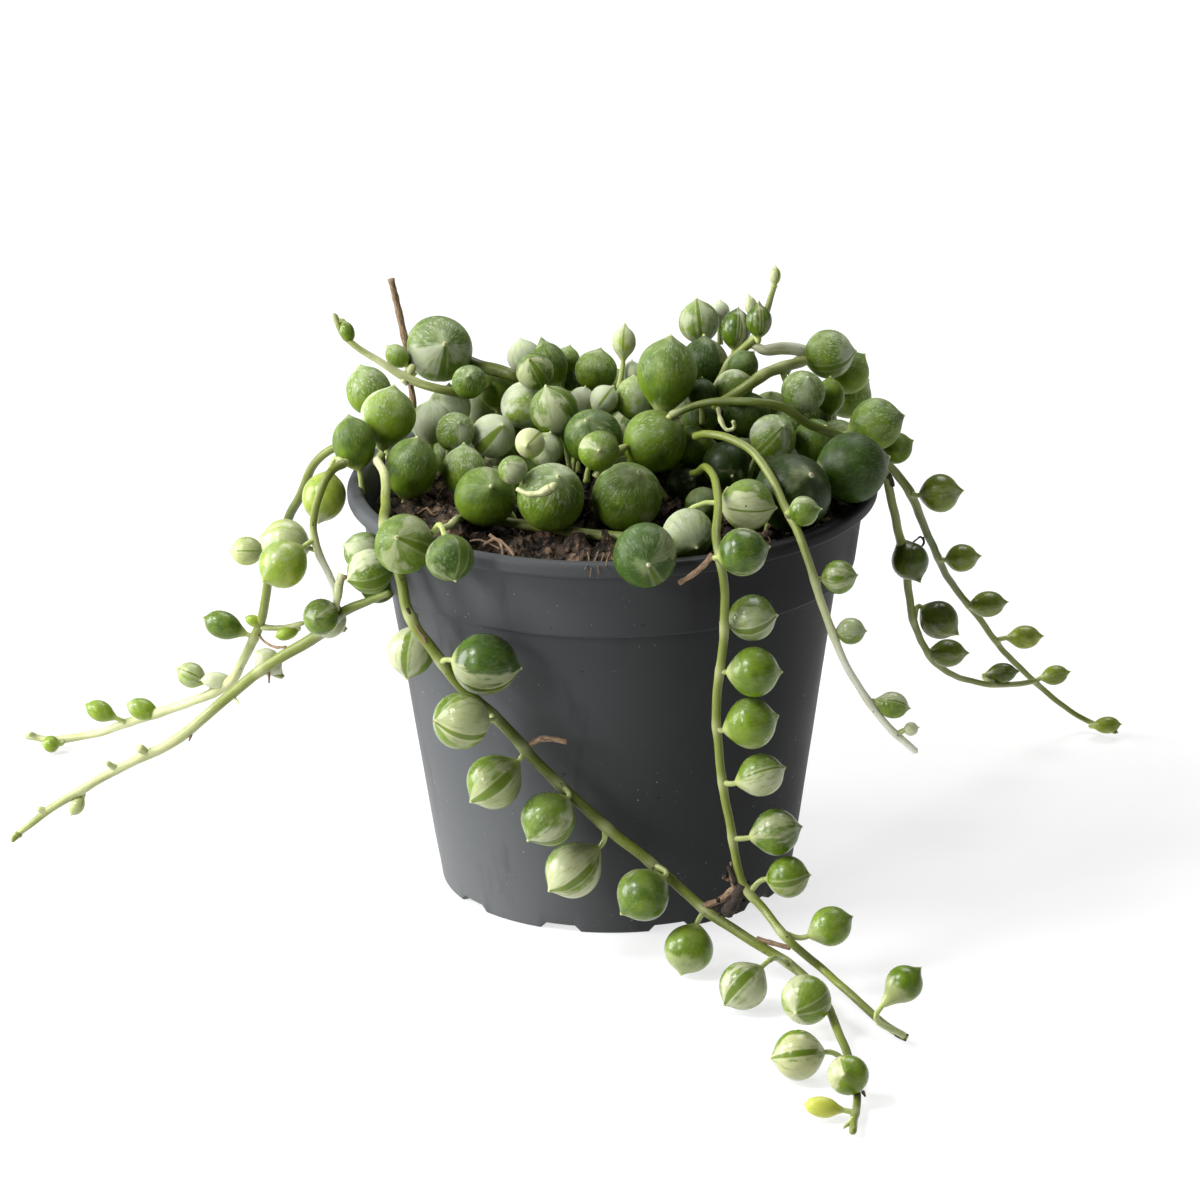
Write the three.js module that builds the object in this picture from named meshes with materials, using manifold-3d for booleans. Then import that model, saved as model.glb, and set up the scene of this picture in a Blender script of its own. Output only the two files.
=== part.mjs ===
// A small variegated string of pearls in a moulded plastic nursery pot.
//
// Millimetres, +Z up. The origin is the middle of the pot's underside, on the surface that it stands on,
// and the front of the plant looks along -Y. Each pearl is one leaf: a round blade with a short stalk on
// one side and a small point on the other.
//
// The plant is laid out from readings of a reference picture. A reading gives how far across and down a
// point lies in the picture, and how far it lies ahead of the pot's axis in millimetres, towards the
// viewer, or how high it lies above the surface. The sight below turns a reading into a place.

import * as THREE from 'three';
import { mergeVertices } from 'three/addons/utils/BufferGeometryUtils.js';
import Module from 'manifold-3d';

const wasm = await Module();
wasm.setup();

// Sight of the reference picture: what the camera aims at, its distance, how far it looks down and leans,
// and picture units per unit of slope.
const SIGHT = {
  aim: new THREE.Vector3(-2.2, 0, 46.4),
  distance: 1000,
  down: THREE.MathUtils.degToRad(19.4),
  lean: THREE.MathUtils.degToRad(0.72),
  focal: 6204,
  middle: 600,
};

// Pot sizes.
const POT = {
  height: 67,
  lipRadius: 42.5,
  lipInnerRadius: 40,
  lipHeight: 2.5,
  collarTopRadius: 40.4,
  collarBottomRadius: 38.9,
  collarBottom: 53.8,
  shoulder: 0.6,
  bodyTopRadius: 36.4,
  footRadius: 28.6,
  wall: 0.85,
  floor: 2,
  padRadius: 11,
  footWidth: 4,
  footRise: 1,
  draft: 0.5,
  notches: 10,
  notchAngle: THREE.MathUtils.degToRad(12),
  firstNotch: THREE.MathUtils.degToRad(-73),
  drains: 8,
  drainRadius: 2.5,
  drainRing: 17.5,
  drainSides: 10,
  sides: 36,
};

const SOIL_TOP = 62;
const SOIL = { edgeRadius: 38.4, dome: 0.8, sink: 0.4 };

// CLEARANCE is left between solids that rest on or hold each other, and ROOM between round leaves.
const CLEARANCE = 0.35;
const ROOM = 0.15;

// Leaves and stems. The sides and turns set how finely each is drawn.
const STALK_RADIUS = 0.5;
const STALK_REACH = 7;
const STALK_STEP = 0.1;
const SHORT_STALK = 0.4;
const LEAF_SIDES = 9;
const LEAF_TURNS = [-66, -32, 0, 32, 62];
const BUD_SIDES = 6;
const BUD_TURNS = [-60, -5, 50];
const POINT_REACH = 1.1;
const STEM_SIDES = 6;
const STEM_STEP = 4.2;

// The rim as obstacles for leaves, and how leaves are settled.
const RIM = { count: 90, drop: 1.3, radius: 1.6 };
const BEAD_STEP = 1.5;
const FINE_STEP = 0.5;
const SETTLE = { rounds: 160, ease: 0.8 };

// Thicknesses of the stems, as radii.
const STEM = { frontLeft: 1.1, frontRight: 0.9, side: 0.75, right: 0.8, left: 0.85, crown: 0.9, twig: 0.6 };

const COLOURS = {
  plastic: { color: 0x4a4d50, roughness: 0.5, metalness: 0 },
  peat: { color: 0x2c2019, roughness: 1, metalness: 0 },
  stem: { color: 0xa9b86a, roughness: 0.6, metalness: 0 },
  leaf: { color: 0x55803a, roughness: 0.4, metalness: 0 },
  bark: { color: 0x6b4d38, roughness: 0.9, metalness: 0 },
};

const toward = new THREE.Vector3(0, -Math.cos(SIGHT.down), Math.sin(SIGHT.down));
const level = new THREE.Vector3(1, 0, 0);
const upright = new THREE.Vector3().crossVectors(toward, level);
const pictureRight = level.clone().multiplyScalar(Math.cos(SIGHT.lean))
  .addScaledVector(upright, -Math.sin(SIGHT.lean));
const pictureUp = level.clone().multiplyScalar(Math.sin(SIGHT.lean))
  .addScaledVector(upright, Math.cos(SIGHT.lean));
const eye = SIGHT.aim.clone().addScaledVector(toward, SIGHT.distance);

/** The direction from the eye through a point of the picture. */
function sightLine(across, down) {
  return toward.clone().negate()
    .addScaledVector(pictureRight, (across - SIGHT.middle) / SIGHT.focal)
    .addScaledVector(pictureUp, (SIGHT.middle - down) / SIGHT.focal)
    .normalize();
}

/** The place seen at a point of the picture, so many millimetres ahead of the pot's axis. */
function ahead(across, down, distance) {
  const line = sightLine(across, down);
  return eye.clone().addScaledVector(line, (-distance - eye.y) / line.y);
}

/** The place seen at a point of the picture, at a height above the surface. */
function high(across, down, height) {
  const line = sightLine(across, down);
  return eye.clone().addScaledVector(line, (height - eye.z) / line.z);
}

/** A direction given in the picture's own terms. */
function pictureDirection([right, up, near]) {
  return new THREE.Vector3()
    .addScaledVector(pictureRight, right)
    .addScaledVector(pictureUp, up)
    .addScaledVector(toward, near)
    .normalize();
}

/** A closed geometry as a solid. */
function solid(geometry) {
  const bare = geometry.clone();
  bare.deleteAttribute('normal');
  bare.deleteAttribute('uv');
  const merged = mergeVertices(bare, 1e-4);
  const mesh = new wasm.Mesh({
    numProp: 3,
    vertProperties: new Float32Array(merged.getAttribute('position').array),
    triVerts: new Uint32Array(merged.getIndex().array),
  });
  return new wasm.Manifold(mesh);
}

/** A named mesh of one solid. */
function meshOf(name, body, look) {
  const { vertProperties, triVerts } = body.getMesh();
  const geometry = new THREE.BufferGeometry();
  geometry.setAttribute('position', new THREE.BufferAttribute(new Float32Array(vertProperties), 3));
  geometry.setIndex(new THREE.BufferAttribute(new Uint32Array(triVerts), 1));
  geometry.computeVertexNormals();
  const mesh = new THREE.Mesh(geometry, new THREE.MeshStandardMaterial(look));
  mesh.name = name;
  return mesh;
}

/** A turned solid: a profile of radius and height pairs around Z. */
function turned(profile, sides) {
  const points = profile.map(([radius, height]) => new THREE.Vector2(radius, height));
  return solid(new THREE.LatheGeometry(points, sides).rotateX(Math.PI / 2));
}

/** The pot: one shell with a lip, collar, shoulder, tapered body, notched foot ring and drain holes. */
function makePot() {
  const { height, wall, floor, footRise, footRadius, collarBottom, draft, shoulder } = POT;
  const ringInside = footRadius - POT.footWidth;
  const lipBottom = height - POT.lipHeight;
  const shell = turned([
    [0, 0],
    [POT.padRadius, 0],
    [POT.padRadius + draft, footRise],
    [ringInside - draft, footRise],
    [ringInside, 0],
    [footRadius - draft, 0],
    [footRadius, draft],
    [POT.bodyTopRadius, collarBottom - shoulder],
    [POT.collarBottomRadius, collarBottom],
    [POT.collarTopRadius, lipBottom],
    [POT.lipRadius, lipBottom + draft / 2],
    [POT.lipRadius, height - draft],
    [POT.lipRadius - draft, height],
    [POT.lipInnerRadius, height],
    [POT.collarTopRadius - wall, height - 2 * draft],
    [POT.collarBottomRadius - wall, collarBottom + wall],
    [POT.bodyTopRadius - wall, collarBottom + wall - shoulder],
    [footRadius - wall, floor],
    [0, floor],
  ], POT.sides);

  const cuts = [];
  for (let i = 0; i < POT.notches; i += 1) {
    const angle = POT.firstNotch + (i * 2 * Math.PI) / POT.notches;
    const width = POT.notchAngle * footRadius;
    const box = new THREE.BoxGeometry(2 * POT.footWidth, width, 2 * footRise)
      .translate(footRadius - POT.footWidth / 2, 0, 0)
      .rotateZ(angle);
    cuts.push(solid(box));
  }
  for (let i = 0; i < POT.drains; i += 1) {
    const angle = (i * 2 * Math.PI) / POT.drains;
    const hole = new THREE.CylinderGeometry(POT.drainRadius, POT.drainRadius, 4 * floor, POT.drainSides)
      .rotateX(Math.PI / 2)
      .translate(POT.drainRing * Math.cos(angle), POT.drainRing * Math.sin(angle), floor / 2);
    cuts.push(solid(hole));
  }
  return shell.subtract(wasm.Manifold.union(cuts));
}

/** The soil: one plug that fills the pot to a little under the rim. */
function makeSoil() {
  const gap = POT.wall + CLEARANCE;
  const ledge = POT.collarBottom + POT.wall;
  return turned([
    [0, POT.floor + CLEARANCE],
    [POT.footRadius - gap, POT.floor + CLEARANCE],
    [POT.bodyTopRadius - gap, ledge - SOIL.sink],
    [POT.collarBottomRadius - gap, ledge + SOIL.sink / 2],
    [SOIL.edgeRadius, SOIL_TOP - SOIL.dome],
    [0, SOIL_TOP],
  ], POT.sides);
}

/** A stem: a tube of one thickness along a smooth route. */
function tube(route, radius) {
  const path = new THREE.CatmullRomCurve3(route, false, 'centripetal');
  const section = new THREE.Shape();
  for (let i = 0; i < STEM_SIDES; i += 1) {
    const angle = (i * 2 * Math.PI) / STEM_SIDES;
    const point = [radius * Math.cos(angle), radius * Math.sin(angle)];
    if (i === 0) section.moveTo(...point);
    else section.lineTo(...point);
  }
  const steps = Math.max(3, Math.round(path.getLength() / STEM_STEP));
  return solid(new THREE.ExtrudeGeometry(section, { extrudePath: path, steps, curveSegments: 1 }));
}

/** A leaf along an axis: a stalk from its foot, a round blade about its centre, and a point. */
function leafSolid({ centre, width, length, axis, stalk, bud: isBud }) {
  const half = length / 2;
  const foot = -half - stalk;
  const profile = [[0, foot], [STALK_RADIUS, foot]];
  for (const turn of (isBud ? BUD_TURNS : LEAF_TURNS)) {
    const angle = THREE.MathUtils.degToRad(turn);
    profile.push([(width / 2) * Math.cos(angle), half * Math.sin(angle)]);
  }
  profile.push([0, half * POINT_REACH]);
  const points = profile.map(([radius, along]) => new THREE.Vector2(radius, along));
  const geometry = new THREE.LatheGeometry(points, isBud ? BUD_SIDES : LEAF_SIDES);
  const turnTo = new THREE.Quaternion().setFromUnitVectors(new THREE.Vector3(0, 1, 0), axis);
  geometry.applyQuaternion(turnTo).translate(centre.x, centre.y, centre.z);
  return solid(geometry);
}

// Stems. Each route is a list of places from the crown outwards, chosen by hand.
const ROUTES = {
  frontLeft: [
    ahead(376, 459, 3), ahead(384, 474, 9), ahead(386, 499, 17), ahead(384, 518, 23.5),
    ahead(386, 532, 27), ahead(392, 550, 29.5), ahead(401, 579, 31), ahead(406, 606, 32.5),
    ahead(416, 628, 34), ahead(430, 646, 34.5), ahead(445, 667, 35), ahead(462, 688, 35.5),
    ahead(500, 722, 36.5), ahead(545, 770, 38), ahead(600, 822, 39), ahead(650, 862, 40),
    ahead(700, 905, 43), high(750, 940, 7), high(780, 958, 4.8), high(804, 976, 3.2),
    high(826, 1004, 2.5), high(837, 1030, 2.2), high(846, 1050, 1.8), high(853, 1075, 1.5),
    high(857, 1100, 1.4), high(852, 1133, 1.3),
  ],
  frontRight: [
    ahead(698, 472, 14), ahead(706, 467, 19), ahead(716, 482, 26), ahead(718, 509, 34.5),
    ahead(716, 537, 42.5), ahead(719, 558, 45.5), ahead(723, 578, 46), ahead(725, 598, 45.5),
    ahead(724, 636, 45.5), ahead(719, 675, 45.5), ahead(716, 718, 45.5), ahead(720, 764, 46),
    ahead(728, 815, 47), ahead(743, 884, 49), ahead(763, 909, 51.5), ahead(791, 943, 57),
    high(820, 967, 5.2), high(840, 985, 4.4), high(880, 1020, 2.6), high(905, 1037, 1.5),
  ],
  side: [
    ahead(694, 437, 8), ahead(708, 434, 13), ahead(730, 439, 17), ahead(753, 452, 21),
    ahead(772, 480, 26), ahead(787, 511, 31), ahead(803, 545, 36), ahead(814, 580, 37),
    ahead(830, 626, 37), ahead(844, 660, 37), ahead(858, 685, 37), ahead(888, 726, 37),
    ahead(918, 753, 37),
  ],
  right: [
    ahead(674, 413, 3), ahead(700, 404, 4), ahead(728, 401, 5), ahead(753, 402, 6), ahead(782, 407, 6),
    ahead(807, 423, 5), ahead(835, 434, 3), ahead(866, 450, 0), ahead(888, 464, -4),
    ahead(903, 482, -7), ahead(914, 501, -10), ahead(930, 540, -18), ahead(950, 580, -29),
    ahead(980, 620, -39), ahead(1012, 660, -49), ahead(1056, 700, -58), ahead(1086, 720, -60.5),
    high(1118, 733, 1.2),
  ],
  rightBranch: [
    ahead(866, 450, 0), ahead(883, 468, -2), ahead(889, 490, -4), ahead(896, 520, -7),
    ahead(903, 550, -11), ahead(909, 592, -16), ahead(914, 622, -20), ahead(922, 642, -24),
    ahead(936, 663, -29), ahead(970, 681, -38), ahead(1005, 685, -44), ahead(1038, 681, -49),
  ],
  leftLow: [
    ahead(392, 592, 22), ahead(368, 601, 18), ahead(341, 613, 12), ahead(318, 635, 7),
    ahead(268, 665, 2), ahead(230, 695, -2), ahead(180, 737, -5), ahead(120, 768, -8),
    ahead(60, 803, -10), high(12, 838, 1.3),
  ],
  leftDrop: [
    ahead(346, 462, 7), ahead(334, 469, 9), ahead(324, 483, 10.5), ahead(315, 510, 11),
    ahead(313, 532, 11), ahead(319, 553, 11), ahead(330, 575, 11.5), ahead(336, 595, 12),
    ahead(334, 616, 11),
  ],
  leftHigh: [
    ahead(344, 443, -4), ahead(328, 451, -5), ahead(314, 464, -7), ahead(302, 492, -10),
    ahead(287, 522, -14), ahead(269, 580, -21), ahead(260, 623, -27), ahead(245, 657, -33),
    ahead(228, 684, -38), ahead(190, 702, -43), ahead(150, 715, -48), high(105, 730, 4.6),
    high(60, 740, 1.8), high(25, 736, 1.3),
  ],
  leftFork: [ahead(260, 627, -27), ahead(275, 628, -26), ahead(290, 626, -25), ahead(306, 622, -24)],
  topShoot: [
    ahead(334, 313, -23), ahead(343, 335, -22), ahead(355, 346, -21), ahead(378, 361, -20),
    ahead(406, 377, -19), ahead(437, 388, -18), ahead(457, 392, -19), ahead(474, 390, -21.5),
    ahead(492, 383, -23),
  ],
  onSoil: [
    ahead(433, 535, 32), ahead(448, 526, 22), ahead(466, 518, 10), high(485, 519, 63.4),
    high(502, 521, 63.3), high(540, 527, 63.3), high(579, 533, 63.3), high(617, 537, 63.3),
    high(645, 540, 63.3), high(668, 541, 63.3),
  ],
  upper: [
    ahead(716, 392, -16), ahead(722, 378, -18), ahead(732, 360, -18), ahead(745, 347, -17),
    ahead(757, 334, -17), ahead(764, 318, -17.5), ahead(770, 300, -18), ahead(775, 283, -18),
  ],
  upperSide: [ahead(752, 345, -17), ahead(764, 350, -17), ahead(782, 348, -18), ahead(800, 350, -19)],
  crossing: [
    ahead(715, 406, 3.1), ahead(730, 398, -2.2), ahead(748, 386, -6), ahead(766, 374, -9),
    ahead(785, 367, -12), ahead(806, 361, -16),
  ],
  old: [ahead(445, 350, -27.4), ahead(475, 364, -25.6), ahead(494, 369, -23.5), ahead(514, 376, -21)],
  twig: [
    ahead(391, 279, -26), ahead(397, 304, -26), ahead(404, 336, -25), ahead(409, 372, -22),
    ahead(416, 425, -17.5), high(420, 474, 61.9),
  ],
};

/** A crown leaf: place, widest and longest size, and where its point aims; `stem` is what carries it. */
function leaf(name, at, [width, length], tip, { stalk = 1.2, stem = null } = {}) {
  return { name, centre: at, width, length, axis: pictureDirection(tip), stalk, stem };
}

/** A leaf of a trailing strand. Its stalk aims at the route that it grows from. */
function strandLeaf(name, stem, at, [width, length]) {
  return { name, stem, centre: at, width, length };
}

/** A small leaf or bud that is one piece with its stem. */
function bud(stem, at, [width, length]) {
  return { stem, centre: at, width, length, bud: true };
}

const STRAND_LEAVES = [
  strandLeaf('leaf_front_left_01', 'frontLeft', ahead(411, 652, 29), [7.4, 8]),
  strandLeaf('leaf_front_left_02', 'frontLeft', ahead(485, 664, 39), [9.8, 10.6]),
  strandLeaf('leaf_front_left_03', 'frontLeft', ahead(461, 721, 43), [9, 9.1]),
  strandLeaf('leaf_front_left_04', 'frontLeft', ahead(494, 782, 38), [8.6, 9]),
  strandLeaf('leaf_front_left_05', 'frontLeft', ahead(548, 819, 42), [8.6, 8.8]),
  strandLeaf('leaf_front_left_06', 'frontLeft', ahead(573, 870, 39), [8.8, 9.4]),
  strandLeaf('leaf_front_left_07', 'frontLeft', ahead(643, 895, 42), [8.3, 8.5]),
  strandLeaf('leaf_front_left_08', 'frontLeft', high(689, 949, 4), [7.7, 7.9]),
  strandLeaf('leaf_front_left_09', 'frontLeft', high(743, 986, 4), [7.5, 7.8]),
  strandLeaf('leaf_front_left_10', 'frontLeft', high(806, 1000, 6), [7.8, 7.8]),
  strandLeaf('leaf_front_left_11', 'frontLeft', high(798, 1055, 4), [7.7, 7.8]),
  bud('frontLeft', high(848, 1075, 4.8), [6.1, 6.2]),
  bud('frontLeft', high(822, 1107, 2), [3.1, 5.2]),

  strandLeaf('leaf_front_right_01', 'frontRight', ahead(743, 552, 46), [7.5, 7.7]),
  strandLeaf('leaf_front_right_02', 'frontRight', ahead(752, 618, 42), [7.3, 7.6]),
  strandLeaf('leaf_front_right_03', 'frontRight', ahead(754, 672, 46), [7.7, 8]),
  strandLeaf('leaf_front_right_04', 'frontRight', ahead(751, 723, 46), [7.9, 8.1]),
  strandLeaf('leaf_front_right_05', 'frontRight', ahead(761, 775, 47), [6.8, 7.3]),
  strandLeaf('leaf_front_right_06', 'frontRight', ahead(776, 832, 48), [7.2, 7.6]),
  strandLeaf('leaf_front_right_07', 'frontRight', ahead(788, 877, 50), [6.5, 6.7]),
  strandLeaf('leaf_front_right_08', 'frontRight', ahead(831, 926, 55), [6.2, 6.7]),
  strandLeaf('leaf_front_right_09', 'frontRight', ahead(904, 984, 79), [5.6, 6.4]),

  bud('side', ahead(804, 511, 34), [4.7, 5]),
  bud('side', ahead(839, 577, 37), [5.3, 5.4]),
  bud('side', ahead(851, 631, 37), [4.3, 4.5]),
  bud('side', ahead(893, 705, 37), [4.2, 5]),
  bud('side', ahead(911, 729, 37), [2.2, 2.2]),

  bud('right', ahead(940, 493, -7), [6.3, 6.8]),
  bud('right', ahead(962, 558, -22), [4.7, 5.6]),
  bud('right', ahead(988, 604, -35), [4.5, 6]),
  bud('right', ahead(1025, 637, -44), [4, 5.6]),
  bud('right', ahead(1055, 675, -55), [3.4, 4.8]),
  bud('right', high(1107, 725, 2.4), [3, 4.6]),
  bud('rightBranch', ahead(911, 562, -12), [6.1, 6.9]),
  bud('rightBranch', ahead(939, 620, -21), [6.2, 7.2]),
  bud('rightBranch', ahead(948, 653, -27), [4.7, 6.2]),
  bud('rightBranch', ahead(1002, 673, -44), [3.5, 5.3]),

  strandLeaf('leaf_left_01', 'leftDrop', ahead(324, 497, 2), [7, 8.2]),
  strandLeaf('leaf_left_02', 'leftDrop', ahead(285, 543, 7), [7.6, 8]),
  strandLeaf('leaf_left_03', 'leftDrop', ahead(283, 564, 14), [7.6, 8.2]),
  bud('leftLow', ahead(321, 617, 14), [5.8, 6]),
  bud('leftLow', ahead(268, 662, 0), [4.2, 5.4]),
  bud('leftLow', ahead(77, 806, -9), [2.4, 3.4]),
  bud('leftHigh', ahead(247, 551, -17), [4.7, 5.4]),
  bud('leftHigh', ahead(223, 625, -30), [4.7, 6.6]),
  bud('leftHigh', ahead(191, 675, -41), [4.3, 5]),
  bud('leftHigh', ahead(216, 680, -39), [2.8, 5]),
  bud('leftHigh', ahead(142, 709, -48), [3.7, 5.4]),
  bud('leftHigh', ahead(100, 711, -51), [3.5, 5.2]),
  bud('leftHigh', high(51, 744, 1.8), [2.9, 3]),
  bud('leftFork', ahead(254, 621, -27), [2, 3]),
  bud('leftFork', ahead(287, 633, -25), [2.4, 4]),

  bud('topShoot', ahead(347, 332, -22), [2.5, 3.6]),
  bud('upper', ahead(751, 306, -18), [2.1, 3.4]),
  bud('upper', ahead(759, 321, -14.5), [4.2, 5.6]),
  bud('upper', ahead(775, 276, -18), [1.9, 3.2]),
  bud('upper', ahead(736, 329, -24), [5, 6.6]),
];

// Leaves of the crown, heaped on the soil and on each other. The ones without a name are small or mostly
// hidden: they have no solid of their own and only keep room for themselves in the heap.
const CROWN_LEAVES = [
  leaf('leaf_crown_01', ahead(354, 443, -2), [6.9, 8.6], [-0.2, 1, 0]),
  leaf('leaf_crown_02', ahead(388, 416, -5), [8.8, 9.4], [0.2, 1, 0.1], { stalk: 2.4 }),
  leaf('leaf_crown_03', ahead(439, 349, -23), [11, 11.2], [0.2, 0.1, 1]),
  leaf('leaf_crown_04', ahead(411, 468, 0), [8.4, 10.4], [0.2, 0.9, 0.4]),
  leaf('leaf_crown_05', ahead(485, 497, 12), [9.6, 9.8], [0.2, 0.3, 0.9]),
  leaf('', ahead(464, 471, -1), [7.2, 8.4], [0, 1, 0.2]),
  leaf('leaf_crown_07', ahead(404, 544, 34), [9.4, 9.6], [-0.2, 0.2, 1]),
  leaf('leaf_crown_08', ahead(370, 571, 25), [7.2, 7.6], [-0.9, -0.4, 0.3], { stem: 'frontLeft' }),
  leaf('leaf_crown_09', ahead(450, 558, 38.5), [7.4, 7.6], [0.2, -0.8, 0.4]),
  leaf('leaf_crown_10', ahead(551, 497, 16.5), [10.8, 11.4], [0.2, 0.5, 0.8]),
  leaf('leaf_crown_11', ahead(554, 411, -13), [7.8, 8.6], [-0.3, 0.9, 0.4]),
  leaf('leaf_crown_12', ahead(593, 437, -11), [9.2, 9.6], [-0.2, 0.5, 0.8]),
  leaf('leaf_crown_13', ahead(627, 497, 11), [11.2, 11.6], [0.3, 0.6, 0.7]),
  leaf('leaf_crown_14', ahead(667, 373, -4), [9.8, 11.4], [0.1, 1, 0.1]),
  leaf('leaf_crown_15', ahead(704, 366, -20.2), [8, 9.6], [0, 1, 0.2]),
  leaf('leaf_crown_16', ahead(655, 441, -1), [10, 10.8], [0.7, 0.6, 0.4], { stem: 'right' }),
  leaf('leaf_crown_17', ahead(645, 555, 46), [10, 10.2], [0.1, -0.3, 1]),
  leaf('leaf_crown_18', ahead(688, 534, 33), [8, 8.2], [0.3, -0.5, 0.8]),
  leaf('leaf_crown_19', ahead(748, 505, 23.5), [8.1, 8.4], [1, -0.1, 0.2]),
  leaf('leaf_crown_20', ahead(793, 493, 13), [12.3, 12.6], [0.4, 0.4, 0.8]),
  leaf('leaf_crown_21', ahead(852, 468, 12), [11.2, 11.8], [0.5, 0.1, 0.8]),
  leaf('leaf_crown_22', ahead(876, 424, -4), [8.2, 8.8], [1, 0.3, 0.1]),
  leaf('leaf_crown_23', ahead(829, 354, -18), [8, 8.2], [1, 0.1, 0.1]),
  leaf('leaf_crown_24', ahead(803, 392, -7), [7, 7.2], [0.2, 0.6, 0.8], { stem: 'crossing' }),
  leaf('', ahead(773, 437, 2), [7.4, 7.6], [0.4, 0.4, 0.8]),
  leaf('', ahead(397, 356, -24), [3.6, 4.4], [-0.7, 0.7, 0]),
  leaf('', ahead(369, 390, -12), [6.4, 6.8], [0.2, 1, 0]),
  leaf('', ahead(431, 422, -14), [6.8, 7], [0, 1, 0]),
  leaf('', ahead(455, 432, -7), [6.4, 6.6], [0.2, 0.4, 0.9]),
  leaf('', ahead(452, 413, -15), [6.2, 6.4], [0, 1, 0]),
  leaf('', ahead(469, 382, -20), [5.6, 5.8], [0, 0.3, 1]),
  leaf('', ahead(495, 437, -7), [6.6, 7], [0.4, 0.4, 0.8]),
  leaf('', ahead(524, 405, -16), [7.6, 8], [0.8, 0.8, 0.4]),
  leaf('', ahead(530, 443, 6), [4.8, 5], [-0.2, -0.2, 1]),
  leaf('', ahead(546, 450, -4), [5.8, 6], [0.2, 0.8, 0.4]),
  leaf('', ahead(513, 470, 17), [4.6, 4.8], [-0.4, 0.4, 0.8]),
  leaf('', ahead(599, 451, -3), [6.4, 6.6], [0, 0, 1]),
  leaf('', ahead(596, 371, -26), [7, 7.2], [0.2, 1, 0.2]),
  leaf('', ahead(549, 364, -26), [6, 8], [-0.3, 1, 0]),
  leaf('', ahead(535, 371, -19), [6, 6.2], [-0.3, 0.6, 0.8]),
  leaf('', ahead(604, 399, -18), [4.6, 4.8], [0.6, 0.8, 0]),
  leaf('', ahead(634, 398, -14), [6.4, 7.2], [0, 1, 0.3]),
  leaf('', ahead(699, 322, -29), [6.6, 7.2], [-0.1, 1, 0]),
  leaf('', ahead(743, 366, -17), [5, 5.4], [0.6, 0.8, 0]),
  leaf('', ahead(733, 388, -17), [6.2, 6.6], [-0.8, -0.3, 0]),
  leaf('', ahead(847, 372, -24), [6.2, 6.4], [0.6, 0.6, 0]),
  leaf('', ahead(830, 396, -12), [4.8, 6], [0, 1, 0.3]),
  leaf('', ahead(790, 427, -8), [6.4, 6.6], [0.4, 0.6, 0.4]),
  leaf('', ahead(896, 448, -9), [5.2, 5.6], [0.9, 0.4, 0]),
  leaf('', ahead(703, 505, 13), [5.8, 6], [0, -0.4, 0.8]),
  leaf('', ahead(726, 465, 2), [7.6, 8], [0.2, -0.4, 0.8]),
  leaf('', ahead(698, 448, -5), [4.8, 5], [0, 0.4, 0.8]),
  leaf('', ahead(686, 484, 3), [6.4, 6.6], [0.2, 0.2, 0.8]),
  leaf('', ahead(700, 419, -8), [5.8, 6], [0, 0.6, 0.6]),
  leaf('', ahead(747, 415, -10), [7.6, 8], [0.2, 0.4, 0.8]),
];

/** Points along a route, each with the stem's radius, as round obstacles. */
function beads(route, radius) {
  const path = new THREE.CatmullRomCurve3(route, false, 'centripetal');
  return path.getSpacedPoints(Math.ceil(path.getLength() / BEAD_STEP)).map((centre) => ({ centre, radius }));
}

/** The pot's rim as a ring of round obstacles. */
function rimBeads() {
  const ring = (POT.lipRadius + POT.lipInnerRadius) / 2;
  return Array.from({ length: RIM.count }, (_, i) => {
    const angle = (i * 2 * Math.PI) / RIM.count;
    const centre = new THREE.Vector3(ring * Math.cos(angle), ring * Math.sin(angle), POT.height - RIM.drop);
    return { centre, radius: RIM.radius };
  });
}

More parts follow.
